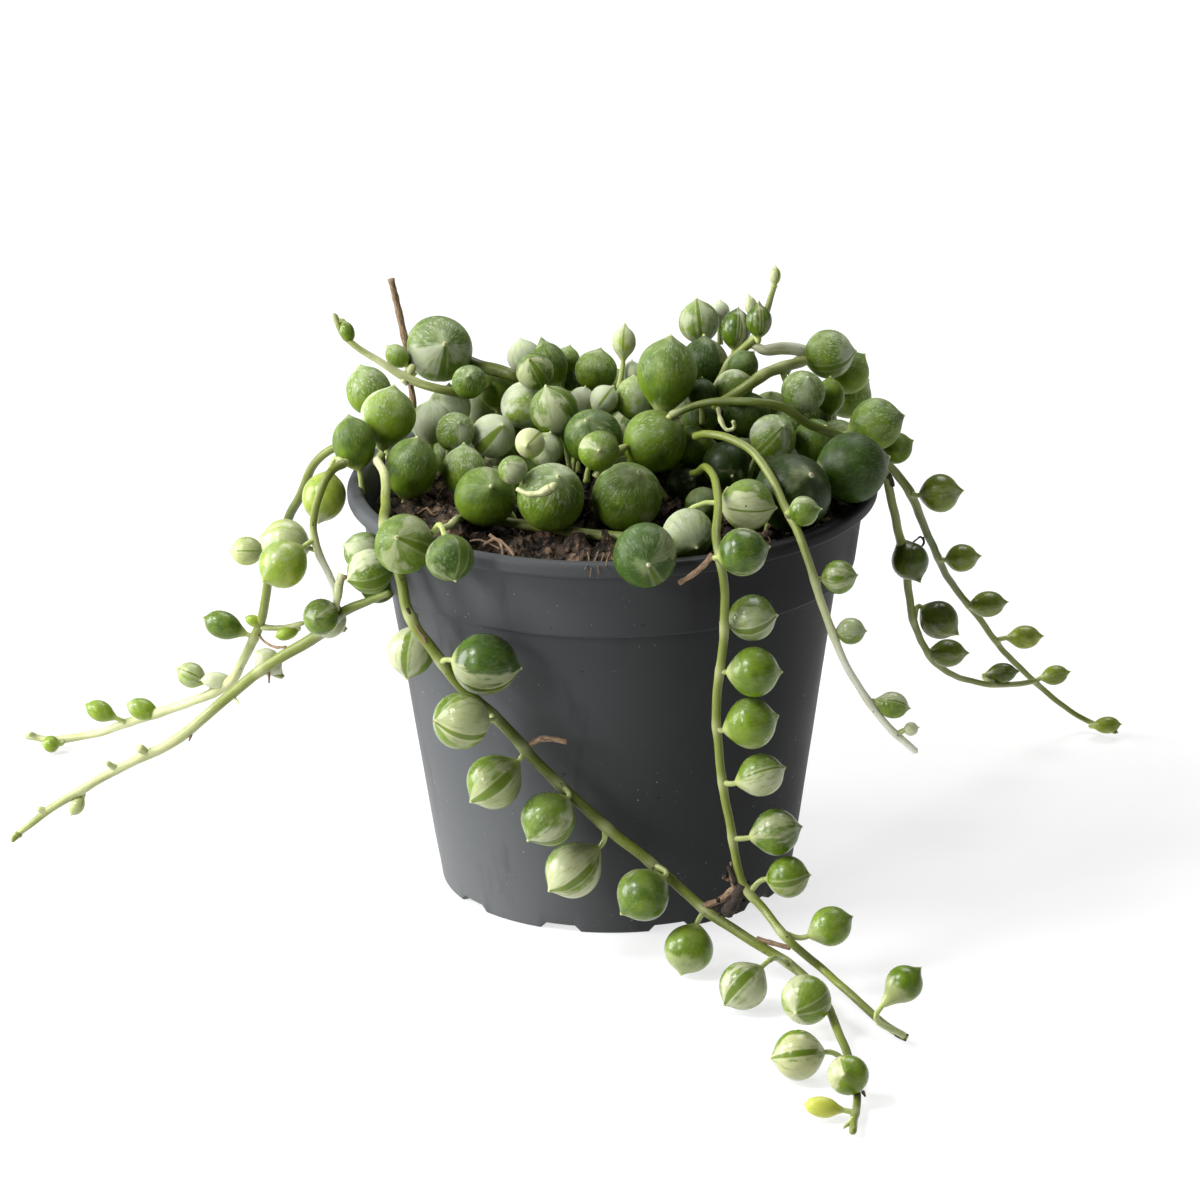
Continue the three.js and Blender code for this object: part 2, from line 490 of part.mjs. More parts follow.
/**
 * Settles leaves that meet. Each one slides along its own line of sight, so that it stays where the picture
 * shows it: two leaves part in depth until they clear each other, and a leaf clears the stems, the rim and
 * the soil. What starts in front stays in front.
 */
function settle(leaves, stems, rim) {
  const balls = leaves.map((item) => ({
    item,
    radius: (item.width + item.length) / 4,
    line: item.centre.clone().sub(eye).normalize(),
  }));
  const depthBetween = (from, to, line) => to.clone().sub(from).dot(line);

  /** How far the second centre has to slide along the line, on its side of the first, to clear it. */
  const slide = (from, to, line, side, need) => {
    const between = to.clone().sub(from);
    const depth = between.dot(line);
    const beside = between.lengthSq() - depth * depth;
    if (beside >= need * need) return 0;
    const target = Math.sqrt(need * need - beside);
    return side * Math.max(0, target - side * depth);
  };

  for (const ball of balls) {
    const near = [...stems, ...rim].filter((bead) => {
      const between = bead.centre.clone().sub(ball.item.centre);
      const depth = between.dot(ball.line);
      return between.lengthSq() - depth * depth < (ball.radius + bead.radius + ROOM) ** 2;
    });
    ball.beads = near.map((bead) => ({
      ...bead,
      side: depthBetween(bead.centre, ball.item.centre, ball.line) < 0 ? -1 : 1,
    }));
  }
  const pairs = [];
  for (let i = 0; i < balls.length; i += 1) {
    for (let j = i + 1; j < balls.length; j += 1) {
      const [a, b] = [balls[i], balls[j]];
      const side = depthBetween(a.item.centre, b.item.centre, a.line) < 0 ? -1 : 1;
      pairs.push({ a, b, side, need: a.radius + b.radius + ROOM });
    }
  }
  for (let round = 0; round < SETTLE.rounds; round += 1) {
    for (const { a, b, side, need } of pairs) {
      const step = slide(a.item.centre, b.item.centre, a.line, side, need) / 2;
      a.item.centre.addScaledVector(a.line, -step);
      b.item.centre.addScaledVector(b.line, step);
    }
    for (const { item, radius, line, beads: near } of balls) {
      for (const bead of near) {
        const need = radius + bead.radius + ROOM;
        const step = slide(bead.centre, item.centre, line, bead.side, need) * SETTLE.ease;
        item.centre.addScaledVector(line, step);
      }
      const overSoil = Math.hypot(item.centre.x, item.centre.y) < POT.lipInnerRadius
        && item.centre.z > POT.collarBottom;
      const sunk = (overSoil ? SOIL_TOP : 0) + CLEARANCE + radius - item.centre.z;
      if (sunk > 0) item.centre.addScaledVector(line, sunk / line.z);
    }
  }
}

/** The point of a route that lies nearest to a place. */
function nearestOn(route, place) {
  const path = new THREE.CatmullRomCurve3(route, false, 'centripetal');
  const points = path.getSpacedPoints(Math.ceil(path.getLength() / FINE_STEP));
  return points.reduce((best, point) => (point.distanceTo(place) < best.distanceTo(place) ? point : best));
}

/** A strand leaf, turned so that its stalk meets its stem: just short of it, or inside it for a bud. */
function growFromStem(item, radius) {
  const foot = nearestOn(ROUTES[item.stem], item.centre);
  const axis = item.centre.clone().sub(foot);
  const distance = axis.length();
  const reach = item.bud ? 0 : radius + CLEARANCE;
  return {
    ...item,
    axis: axis.normalize(),
    stalk: Math.max(STALK_STEP, distance - item.length / 2 - reach),
  };
}

/** A crown leaf with a stalk that goes on until it is about to meet something in the heap. */
function rootInHeap(item, heap) {
  const half = item.length / 2;
  const free = (length) => {
    const end = item.centre.clone().addScaledVector(item.axis, -(half + length));
    if (end.z < SOIL_TOP + CLEARANCE + STALK_RADIUS) return false;
    return heap.every(({ owner, centre, radius }) => owner === item
      || centre.distanceTo(end) > radius + STALK_RADIUS + CLEARANCE);
  };
  let stalk = 0;
  while (stalk < STALK_REACH && free(stalk + STALK_STEP)) stalk += STALK_STEP;
  return { ...item, stalk: stalk < STALK_REACH ? Math.max(stalk, SHORT_STALK) : item.stalk };
}

const RADII = {
  frontLeft: STEM.frontLeft, frontRight: STEM.frontRight, side: STEM.side, right: STEM.right,
  rightBranch: STEM.right, leftLow: STEM.left, leftDrop: STEM.left, leftHigh: STEM.left, leftFork: STEM.left,
  topShoot: STEM.side, onSoil: STEM.crown, upper: STEM.side, upperSide: STEM.side, crossing: STEM.crown,
  old: STEM.frontLeft, twig: STEM.twig,
};

// Each stem node with the routes that it joins.
const STEM_NODES = {
  stem_front_left: ['frontLeft'],
  stem_front_right: ['frontRight'],
  stem_side_right: ['side'],
  stem_right: ['right', 'rightBranch'],
  stem_left_low: ['leftLow', 'leftDrop'],
  stem_left_high: ['leftHigh', 'leftFork'],
  shoot_top_left: ['topShoot'],
  stem_on_soil: ['onSoil'],
  stem_crown_upper: ['upper', 'upperSide'],
  stem_crown_crossing: ['crossing'],
  stem_crown_old: ['old'],
  dry_twig: ['twig'],
};

const obstacles = Object.entries(ROUTES).flatMap(([key, route]) => beads(route, RADII[key]));
const freeLeaves = STRAND_LEAVES.filter((item) => !item.bud);
const rim = rimBeads();
settle([...CROWN_LEAVES, ...freeLeaves], obstacles, rim);

const plant = new THREE.Group();
plant.add(meshOf('pot', makePot(), COLOURS.plastic));
plant.add(meshOf('soil', makeSoil(), COLOURS.peat));

for (const [name, keys] of Object.entries(STEM_NODES)) {
  const parts = keys.map((key) => tube(ROUTES[key], RADII[key]));
  for (const item of STRAND_LEAVES) {
    if (item.bud && keys.includes(item.stem)) parts.push(leafSolid(growFromStem(item, RADII[item.stem])));
  }
  plant.add(meshOf(name, wasm.Manifold.union(parts), name === 'dry_twig' ? COLOURS.bark : COLOURS.stem));
}

for (const item of freeLeaves) {
  plant.add(meshOf(item.name, leafSolid(growFromStem(item, RADII[item.stem])), COLOURS.leaf));
}
const heap = [
  ...obstacles,
  ...rim,
  ...[...CROWN_LEAVES.filter(({ name }) => name), ...freeLeaves].map((item) => (
    { owner: item, centre: item.centre, radius: (item.width + item.length) / 4 })),
];
for (const item of CROWN_LEAVES) {
  if (!item.name) continue;
  const held = item.stem ? growFromStem(item, RADII[item.stem]) : rootInHeap(item, heap);
  plant.add(meshOf(item.name, leafSolid(held), COLOURS.leaf));
}

export default plant;
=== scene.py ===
"""A variegated string of pearls in a moulded nursery pot.

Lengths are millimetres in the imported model's frame, and `METRE` turns them into metres where a mesh or a
light is made. A place on the plant is read from a reference picture, as how far across and down it lies and
how far ahead of the pot's axis, or how high above the surface. `Sight` turns such a reading into a place.
"""

import logging
from dataclasses import dataclass, field, replace
from enum import Enum
from typing import Iterable, Sequence

import bpy
import numpy as np
from mathutils import Matrix


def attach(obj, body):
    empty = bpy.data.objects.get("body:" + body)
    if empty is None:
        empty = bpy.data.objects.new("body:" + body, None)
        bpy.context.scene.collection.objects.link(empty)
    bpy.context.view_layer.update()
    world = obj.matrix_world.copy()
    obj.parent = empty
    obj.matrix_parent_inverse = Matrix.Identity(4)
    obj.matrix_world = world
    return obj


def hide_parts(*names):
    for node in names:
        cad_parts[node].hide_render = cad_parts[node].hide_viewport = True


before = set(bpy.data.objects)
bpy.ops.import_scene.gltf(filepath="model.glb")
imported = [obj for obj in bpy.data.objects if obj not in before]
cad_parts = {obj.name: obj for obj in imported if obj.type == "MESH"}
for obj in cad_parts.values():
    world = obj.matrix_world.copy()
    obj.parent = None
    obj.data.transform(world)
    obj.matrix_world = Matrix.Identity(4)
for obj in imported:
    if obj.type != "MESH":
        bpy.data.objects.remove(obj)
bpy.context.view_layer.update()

METRE = 0.001
TURN = 2.0 * np.pi
SOIL_TOP = 62.0
LOG = logging.getLogger("string_of_pearls")

Vector3 = Sequence[float]
Value = "Wire | float | Sequence[float]"


def unit(vector: np.ndarray) -> np.ndarray:
    """Scales vectors to a length of one.

    Args:
        vector: One vector, or an array with a vector in each row.

    Returns:
        The same directions with unit length.
    """
    vector = np.asarray(vector, dtype=float)
    return vector / np.maximum(np.linalg.norm(vector, axis=-1, keepdims=True), 1e-12)


def colour(red: int, green: int, blue: int) -> tuple[float, float, float, float]:
    """Turns a display colour of 0 to 255 into the linear colour that a shader takes.

    Args:
        red: Red of the display colour.
        green: Green of the display colour.
        blue: Blue of the display colour.

    Returns:
        Linear red, green, blue and an alpha of one.
    """
    share = np.array([red, green, blue]) / 255.0
    linear = np.where(share <= 0.04045, share / 12.92, ((share + 0.055) / 1.055) ** 2.4)
    return (float(linear[0]), float(linear[1]), float(linear[2]), 1.0)


def placed(name: str, data: bpy.types.ID) -> bpy.types.Object:
    """Makes an object of a mesh, light or camera, and links it to the scene."""
    thing = bpy.data.objects.new(name, data)
    bpy.context.scene.collection.objects.link(thing)
    return thing


@dataclass(frozen=True)
class Sight:
    """The reference picture's camera.

    Attributes:
        aim: The place that the middle of the picture shows.
        distance: How far the eye is from that place.
        down: How far the camera looks down, in degrees.
        lean: How far it leans sideways, in degrees.
        focal: Picture units per unit of slope.
        width: Picture units from side to side.
    """

    aim: Vector3 = (-2.2, 0.0, 46.4)
    distance: float = 1000.0
    down: float = 19.4
    lean: float = 0.72
    focal: float = 6204.0
    width: float = 1200.0

    @property
    def toward(self) -> np.ndarray:
        """The direction from the plant to the eye."""
        angle = np.radians(self.down)
        return np.array([0.0, -np.cos(angle), np.sin(angle)])

    @property
    def right(self) -> np.ndarray:
        """The picture's own right."""
        angle = np.radians(self.lean)
        level = np.array([1.0, 0.0, 0.0])
        return level * np.cos(angle) - np.cross(self.toward, level) * np.sin(angle)

    @property
    def up(self) -> np.ndarray:
        """The picture's own up."""
        return np.cross(self.toward, self.right)

    @property
    def eye(self) -> np.ndarray:
        """Where the camera stands."""
        return np.array(self.aim) + self.toward * self.distance

    def line(self, across: float, down: float) -> np.ndarray:
        """The direction from the eye through a point of the picture."""
        middle = self.width / 2.0
        aside = self.right * (across - middle) / self.focal
        return unit(-self.toward + aside + self.up * (middle - down) / self.focal)

    def ahead(self, across: float, down: float, distance: float) -> np.ndarray:
        """The place at a point of the picture, so far ahead of the pot's axis."""
        line = self.line(across, down)
        return self.eye + line * (-distance - self.eye[1]) / line[1]

    def high(self, across: float, down: float, height: float) -> np.ndarray:
        """The place at a point of the picture, at a height above the surface."""
        line = self.line(across, down)
        return self.eye + line * (height - self.eye[2]) / line[2]

    def as_deep(self, reading: tuple, place: np.ndarray) -> np.ndarray:
        """The place at a point of the picture, as far from the eye as another place."""
        line = self.line(*reading)
        return self.eye + line * float((place - self.eye) @ line)

    def direction(self, right: float, up: float, near: float) -> np.ndarray:
        """A direction given in the picture's own terms."""
        return unit(self.right * right + self.up * up + self.toward * near)

    def in_picture(self, places: np.ndarray) -> tuple[np.ndarray, np.ndarray]:
        """Where places show in the picture.

        Args:
            places: An array with a place in each row.

        Returns:
            Across and down for each place, and its distance from the eye along the view.
        """
        between = np.atleast_2d(places) - self.eye
        depth = between @ -self.toward
        across = self.width / 2 + self.focal * (between @ self.right) / depth
        down = self.width / 2 - self.focal * (between @ self.up) / depth
        return np.stack([across, down], axis=1), depth

    def make_camera(self) -> None:
        """Places the scene's camera. Its turn has the picture's right, up and back as columns."""
        data = bpy.data.cameras.new("picture_camera")
        data.sensor_width = 36.0
        data.lens = self.focal / self.width * data.sensor_width
        data.clip_start = 0.05
        data.clip_end = 50.0
        camera = placed("picture_camera", data)
        turn = np.stack([self.right, self.up, self.toward], axis=1)
        camera.matrix_world = Matrix.Translation(self.eye * METRE) @ Matrix(turn.tolist()).to_4x4()
        bpy.context.scene.camera = camera


SIGHT = Sight()


def ahead(across: float, down: float, distance: float) -> np.ndarray:
    """Short for a reading so far ahead of the pot's axis."""
    return SIGHT.ahead(across, down, distance)


def high(across: float, down: float, height: float) -> np.ndarray:
    """Short for a reading at a height above the surface."""
    return SIGHT.high(across, down, height)

UP = True


def trail(*readings: tuple) -> list[np.ndarray]:
    """Places from readings: across, down and how far ahead, or the height above the surface and UP."""
    return [high(*reading[:3]) if len(reading) > 3 else ahead(*reading) for reading in readings]


def even_turns(count: int) -> np.ndarray:
    """Angles evenly round a circle."""
    return np.arange(count) * TURN / count


def circle(count: int) -> np.ndarray:
    """Points evenly round a level circle of radius one."""
    angle = even_turns(count)
    return np.stack([np.cos(angle), np.sin(angle), 0 * angle], axis=1)


def smooth_route(points: Sequence[np.ndarray], spacing: float = 0.5) -> np.ndarray:
    """Runs a smooth curve through points.

    Each stretch between two points is a cubic with centripetal tangents: a point's tangent weighs the
    stretches on its two sides by the square roots of their lengths. The curve is then cut at even lengths.

    Args:
        points: Places that the curve passes through, in order.
        spacing: Length between two places of the result.

    Returns:
        An array with a place in each row.
    """
    given = np.array(points, dtype=float)
    padded = np.vstack([2 * given[0] - given[1], given, 2 * given[-1] - given[-2]])
    gap = np.sqrt(np.linalg.norm(np.diff(padded, axis=0), axis=1))[:, None]
    before, here, after = gap[:-2], gap[1:-1], gap[2:]
    first, start, end, last = padded[:-3], padded[1:-2], padded[2:-1], padded[3:]
    leave = ((start - first) / before - (end - first) / (before + here) + (end - start) / here) * here
    arrive = ((end - start) / here - (last - start) / (here + after) + (last - end) / after) * here
    share = np.linspace(0.0, 1.0, 33)[None, :-1, None]
    curve = (
        (2 * share**3 - 3 * share**2 + 1) * start[:, None]
        + (share**3 - 2 * share**2 + share) * leave[:, None]
        + (3 * share**2 - 2 * share**3) * end[:, None]
        + (share**3 - share**2) * arrive[:, None]
    ).reshape(-1, 3)
    curve = np.vstack([curve, given[-1]])
    length = run_length(curve)
    cuts = np.linspace(0.0, length[-1], max(4, int(length[-1] / spacing)))
    return np.stack([np.interp(cuts, length, curve[:, axis]) for axis in range(3)], axis=1)


def run_length(path: np.ndarray) -> np.ndarray:
    """The length of a path up to each of its places."""
    return np.concatenate([[0.0], np.cumsum(np.linalg.norm(np.diff(path, axis=0), axis=1))])


def carried_frames(path: np.ndarray) -> tuple[np.ndarray, np.ndarray, np.ndarray]:
    """Carries a pair of side directions along a path with as little twist as it can.

    Args:
        path: Places along the path.

    Returns:
        The path's direction at each place, and two directions square to it and to each other.
    """
    along = unit(np.gradient(path, axis=0))
    side = np.zeros_like(path)
    start = np.eye(3)[int(np.argmin(np.abs(along[0])))]
    side[0] = unit(start - along[0] * (start @ along[0]))
    for i in range(1, len(path)):
        side[i] = unit(side[i - 1] - along[i] * (side[i - 1] @ along[i]))
    return along, side, np.cross(along, side)


def sweep(path: np.ndarray, radius: np.ndarray, sides: int) -> np.ndarray:
    """Carries a circle along a path: each point is path + radius * (side cos angle + other sin angle).

    Args:
        path: Places along the path.
        radius: The circle's radius at each place.
        sides: Points round the circle.

    Returns:
        An array of rows along the path by points round it by three.
    """
    _, side, other = carried_frames(path)
    angle = even_turns(sides)
    ring = side[:, None] * np.cos(angle)[None, :, None] + other[:, None] * np.sin(angle)[None, :, None]
    return path[:, None] + ring * np.broadcast_to(radius, len(path))[:, None, None]


class Waves:
    """A soft random field: a sum of sine waves of many directions and lengths.

    The field at a place is the sum of strength * sin(place . direction / length + phase), with longer waves
    stronger than short ones.
    """

    def __init__(self, seed: int, longest: float, shortest: float, count: int = 48) -> None:
        """Draws the waves.

        Args:
            seed: Start of the random draw.
            longest: Length of the longest wave.
            shortest: Length of the shortest wave.
            count: How many waves there are.
        """
        draw = np.random.default_rng(seed)
        size = np.geomspace(longest, shortest, count)
        self.waves = unit(draw.normal(size=(count, 3))) * (TURN / size)[:, None]
        self.phases = draw.uniform(0.0, TURN, count)
        self.strengths = np.sqrt(size)
        self.strengths /= np.sqrt(np.sum(self.strengths**2) / 2)

    def at(self, places: np.ndarray) -> np.ndarray:
        """The field at places, with a spread of about one."""
        return np.sin(places @ self.waves.T + self.phases) @ self.strengths


class Skin:
    """Gathers closed grids of points, and makes one mesh of them.

    A grid has rows along it and points round it, and each end row is closed to a pole. Its faces point
    outwards where the points run anticlockwise as seen from its last row.
    """

    def __init__(self, *fields: str) -> None:
        """Starts an empty skin.

        Args:
            fields: Names of the values of three numbers that each point carries for its material.
        """
        self.points: list[np.ndarray] = []
        self.faces: list[np.ndarray] = []
        self.slots: list[np.ndarray] = []
        self.fields: dict[str, list[np.ndarray]] = {name: [] for name in fields}
        self.count = 0

    def add(self, grids: np.ndarray, slot: int = 0, **fields: np.ndarray) -> None:
        """Adds one grid, or many of the same shape.

        Args:
            grids: Rows by points by three, or a stack of such grids.
            slot: Which of the piece's materials the faces take.
            fields: For each named field, values that fit the grids when repeated.
        """
        grids = grids[None] if grids.ndim == 3 else grids
        number, rows, sides, _ = grids.shape
        ends = grids[:, 0].mean(axis=1), grids[:, -1].mean(axis=1)
        flat = grids.reshape(number, rows * sides, 3)
        whole = np.concatenate([flat, ends[0].reshape(number, 1, 3), ends[1].reshape(number, 1, 3)], axis=1)
        size = rows * sides + 2
        row, column = np.meshgrid(np.arange(rows - 1), np.arange(sides), indexing="ij")
        beside = (column + 1) % sides
        start, end = row * sides, (row + 1) * sides
        quads = [start + column, start + beside, end + beside, end + column]
        quads = np.stack(quads, axis=-1).reshape(-1, 4)
        ring = np.arange(sides)
        after = (ring + 1) % sides
        top = (rows - 1) * sides
        first = np.stack([np.full(sides, size - 2), after, ring, np.full(sides, -1)], axis=1)
        last = np.stack([np.full(sides, size - 1), top + ring, top + after, np.full(sides, -1)], axis=1)
        faces = np.concatenate([quads, first, last])
        shift = self.count + np.arange(number)[:, None, None] * size
        self.points.append(whole.reshape(-1, 3))
        self.faces.append(np.where(faces < 0, -1, faces + shift).reshape(-1, 4))
        self.slots.append(np.full(number * len(faces), slot))
        for name, held in self.fields.items():
            given = np.asarray(fields.get(name, np.zeros(3)), dtype=float)
            spread = np.broadcast_to(given, grids.shape).reshape(number, rows, sides, 3)
            ends_of = [spread[:, 0].mean(axis=1)[:, None], spread[:, -1].mean(axis=1)[:, None]]
            held.append(np.concatenate([spread.reshape(number, -1, 3), *ends_of], axis=1).reshape(-1, 3))
        self.count += number * size

    def make(
        self, name: str, materials: Sequence[bpy.types.Material], smooth: bool = True
    ) -> bpy.types.Object:
        """Makes the piece.

        Args:
            name: Name of the object.
            materials: Its material slots.
            smooth: Whether the faces are shaded smooth.

        Returns:
            The new object, linked to the scene.
        """
        points = np.concatenate(self.points) * METRE
        faces = np.concatenate(self.faces)
        used = faces >= 0
        sizes = used.sum(axis=1)
        mesh = bpy.data.meshes.new(name)
        mesh.vertices.add(len(points))
        mesh.vertices.foreach_set("co", points.astype(np.float32).ravel())
        mesh.loops.add(int(sizes.sum()))
        mesh.loops.foreach_set("vertex_index", faces[used].astype(np.int32))
        mesh.polygons.add(len(faces))
        starts = np.concatenate([[0], np.cumsum(sizes)[:-1]])
        mesh.polygons.foreach_set("loop_start", starts.astype(np.int32))
        mesh.polygons.foreach_set("material_index", np.concatenate(self.slots).astype(np.int32))
        mesh.polygons.foreach_set("use_smooth", np.full(len(faces), smooth))
        for field_name, held in self.fields.items():
            layer = mesh.attributes.new(field_name, "FLOAT_VECTOR", "POINT")
            layer.data.foreach_set("vector", np.concatenate(held).astype(np.float32).ravel())
        mesh.update(calc_edges=True)
        mesh.validate()
        for material in materials:
            mesh.materials.append(material)
        piece = placed(name, mesh)
        return piece


class Wire:
    """A number, vector or colour on its way through a material, written with the ordinary signs."""

    def __init__(self, graph: "Graph", socket: bpy.types.NodeSocket) -> None:
        """Holds an output of a node."""
        self.graph, self.socket = graph, socket

    def __add__(self, other: Value) -> "Wire":
        """The sum."""
        return self.graph.math("ADD", self, other)

    def __sub__(self, other: Value) -> "Wire":
        """The difference."""
        return self.graph.math("SUBTRACT", self, other)

    def __rsub__(self, other: Value) -> "Wire":
        """The difference from a plain number."""
        return self.graph.math("SUBTRACT", other, self)

    def __mul__(self, other: Value) -> "Wire":
        """The product."""
        return self.graph.math("MULTIPLY", self, other)

    def __truediv__(self, other: Value) -> "Wire":
        """The quotient."""
        return self.graph.math("DIVIDE", self, other)

    def __abs__(self) -> "Wire":
        """The size without its sign."""
        return self.graph.math("ABSOLUTE", self)

    def at_least(self, other: Value) -> "Wire":
        """The larger of the two."""
        return self.graph.math("MAXIMUM", self, other)

    def at_most(self, other: Value) -> "Wire":
        """The smaller of the two."""
        return self.graph.math("MINIMUM", self, other)


class Graph:
    """A short way to write the nodes of a material."""

    def __init__(self, name: str) -> None:
        """Starts a material with its Principled shader."""
        self.material = bpy.data.materials.new(name)
        self.material.use_nodes = True
        self.tree = self.material.node_tree
        self.shader = self.tree.nodes["Principled BSDF"]

    def feed(self, socket: bpy.types.NodeSocket, value: Value) -> None:
        """Links a wire to a socket, or sets the socket's own value."""
        if isinstance(value, Wire):
            self.tree.links.new(value.socket, socket)
        else:
            socket.default_value = value

    def node(self, kind: str, inputs: dict | None = None, output: int | str = 0, **settings: object) -> Wire:
        """Adds a node.

        Args:
            kind: The node's type.
            inputs: Values or wires for its inputs, by name or number.
            output: The output that is wanted, by name or number.
            settings: Its own settings.

        Returns:
            That output.
        """
        made = self.tree.nodes.new(kind)
        for name, value in settings.items():
            setattr(made, name, value)
        for name, value in (inputs or {}).items():
            self.feed(made.inputs[name], value)
        return Wire(self, made.outputs[output])

    def math(self, operation: str, *values: Value) -> Wire:
        """A number worked out from others."""
        return self.node("ShaderNodeMath", dict(enumerate(values)), operation=operation)

    def vector_math(self, operation: str, *values: Value) -> Wire:
        """A vector worked out from others."""
        return self.node("ShaderNodeVectorMath", dict(enumerate(values)), operation=operation)

    def step(self, value: Value, low: float, high: float, start: float = 0.0, end: float = 1.0) -> Wire:
        """A soft step from one number to another as a value goes from low to high."""
        inputs = {"Value": value, "From Min": low, "From Max": high, "To Min": start, "To Max": end}
        return self.node("ShaderNodeMapRange", inputs, interpolation_type="SMOOTHSTEP")

    def mix(self, share: Value, first: Value, second: Value) -> Wire:
        """A colour between two others."""
        return self.node("ShaderNodeMix", {0: share, 6: first, 7: second}, 2, data_type="RGBA")

    def noise(self, place: Value, scale: float, detail: float = 2.0, roughness: float = 0.5) -> Wire:
        """A soft random number, from about 0.2 to 0.8."""
        inputs = {"Vector": place, "Scale": scale, "Detail": detail, "Roughness": roughness}
        return self.node("ShaderNodeTexNoise", inputs, "Fac")

    def cells(self, place: Value, scale: float) -> Wire:
        """The distance from the nearest of many scattered points."""
        return self.node("ShaderNodeTexVoronoi", {"Vector": place, "Scale": scale}, "Distance")

    def field(self, name: str) -> Wire:
        """A value that each point of the mesh carries."""
        return self.node("ShaderNodeAttribute", output="Vector", attribute_name=name)

    def split(self, vector: Value) -> list[Wire]:
        """The three numbers of a vector."""
        made = self.node("ShaderNodeSeparateXYZ", {0: vector})
        return [Wire(self, socket) for socket in made.socket.node.outputs]

    def join(self, *values: Value) -> Wire:
        """A vector of three numbers."""
        return self.node("ShaderNodeCombineXYZ", dict(enumerate(values)))

    def place(self) -> Wire:
        """The piece's own coordinates, in metres."""
        return self.node("ShaderNodeTexCoord", output="Object")

    def on_tube(self, length: Value, turn: Value) -> Wire:
        """A place on a tube of radius one, from a length along it and an angle round it."""
        return self.join(length, self.math("COSINE", turn), self.math("SINE", turn))

    def half_turn(self, angle: Value) -> Wire:
        """An angle brought to within half a turn of nothing."""
        return self.math("WRAP", angle, np.pi, -np.pi)

    def bump(self, height: Value, distance: float, strength: float) -> Wire:
        """A bumped normal, so many metres high."""
        return self.node("ShaderNodeBump", {"Height": height, "Distance": distance, "Strength": strength})

    def finish(self, **sockets: Value) -> bpy.types.Material:
        """Feeds the shader. A socket's name is written with underscores for spaces."""
        for name, value in sockets.items():
            self.feed(self.shader.inputs[name.replace("_", " ")], value)
        return self.material


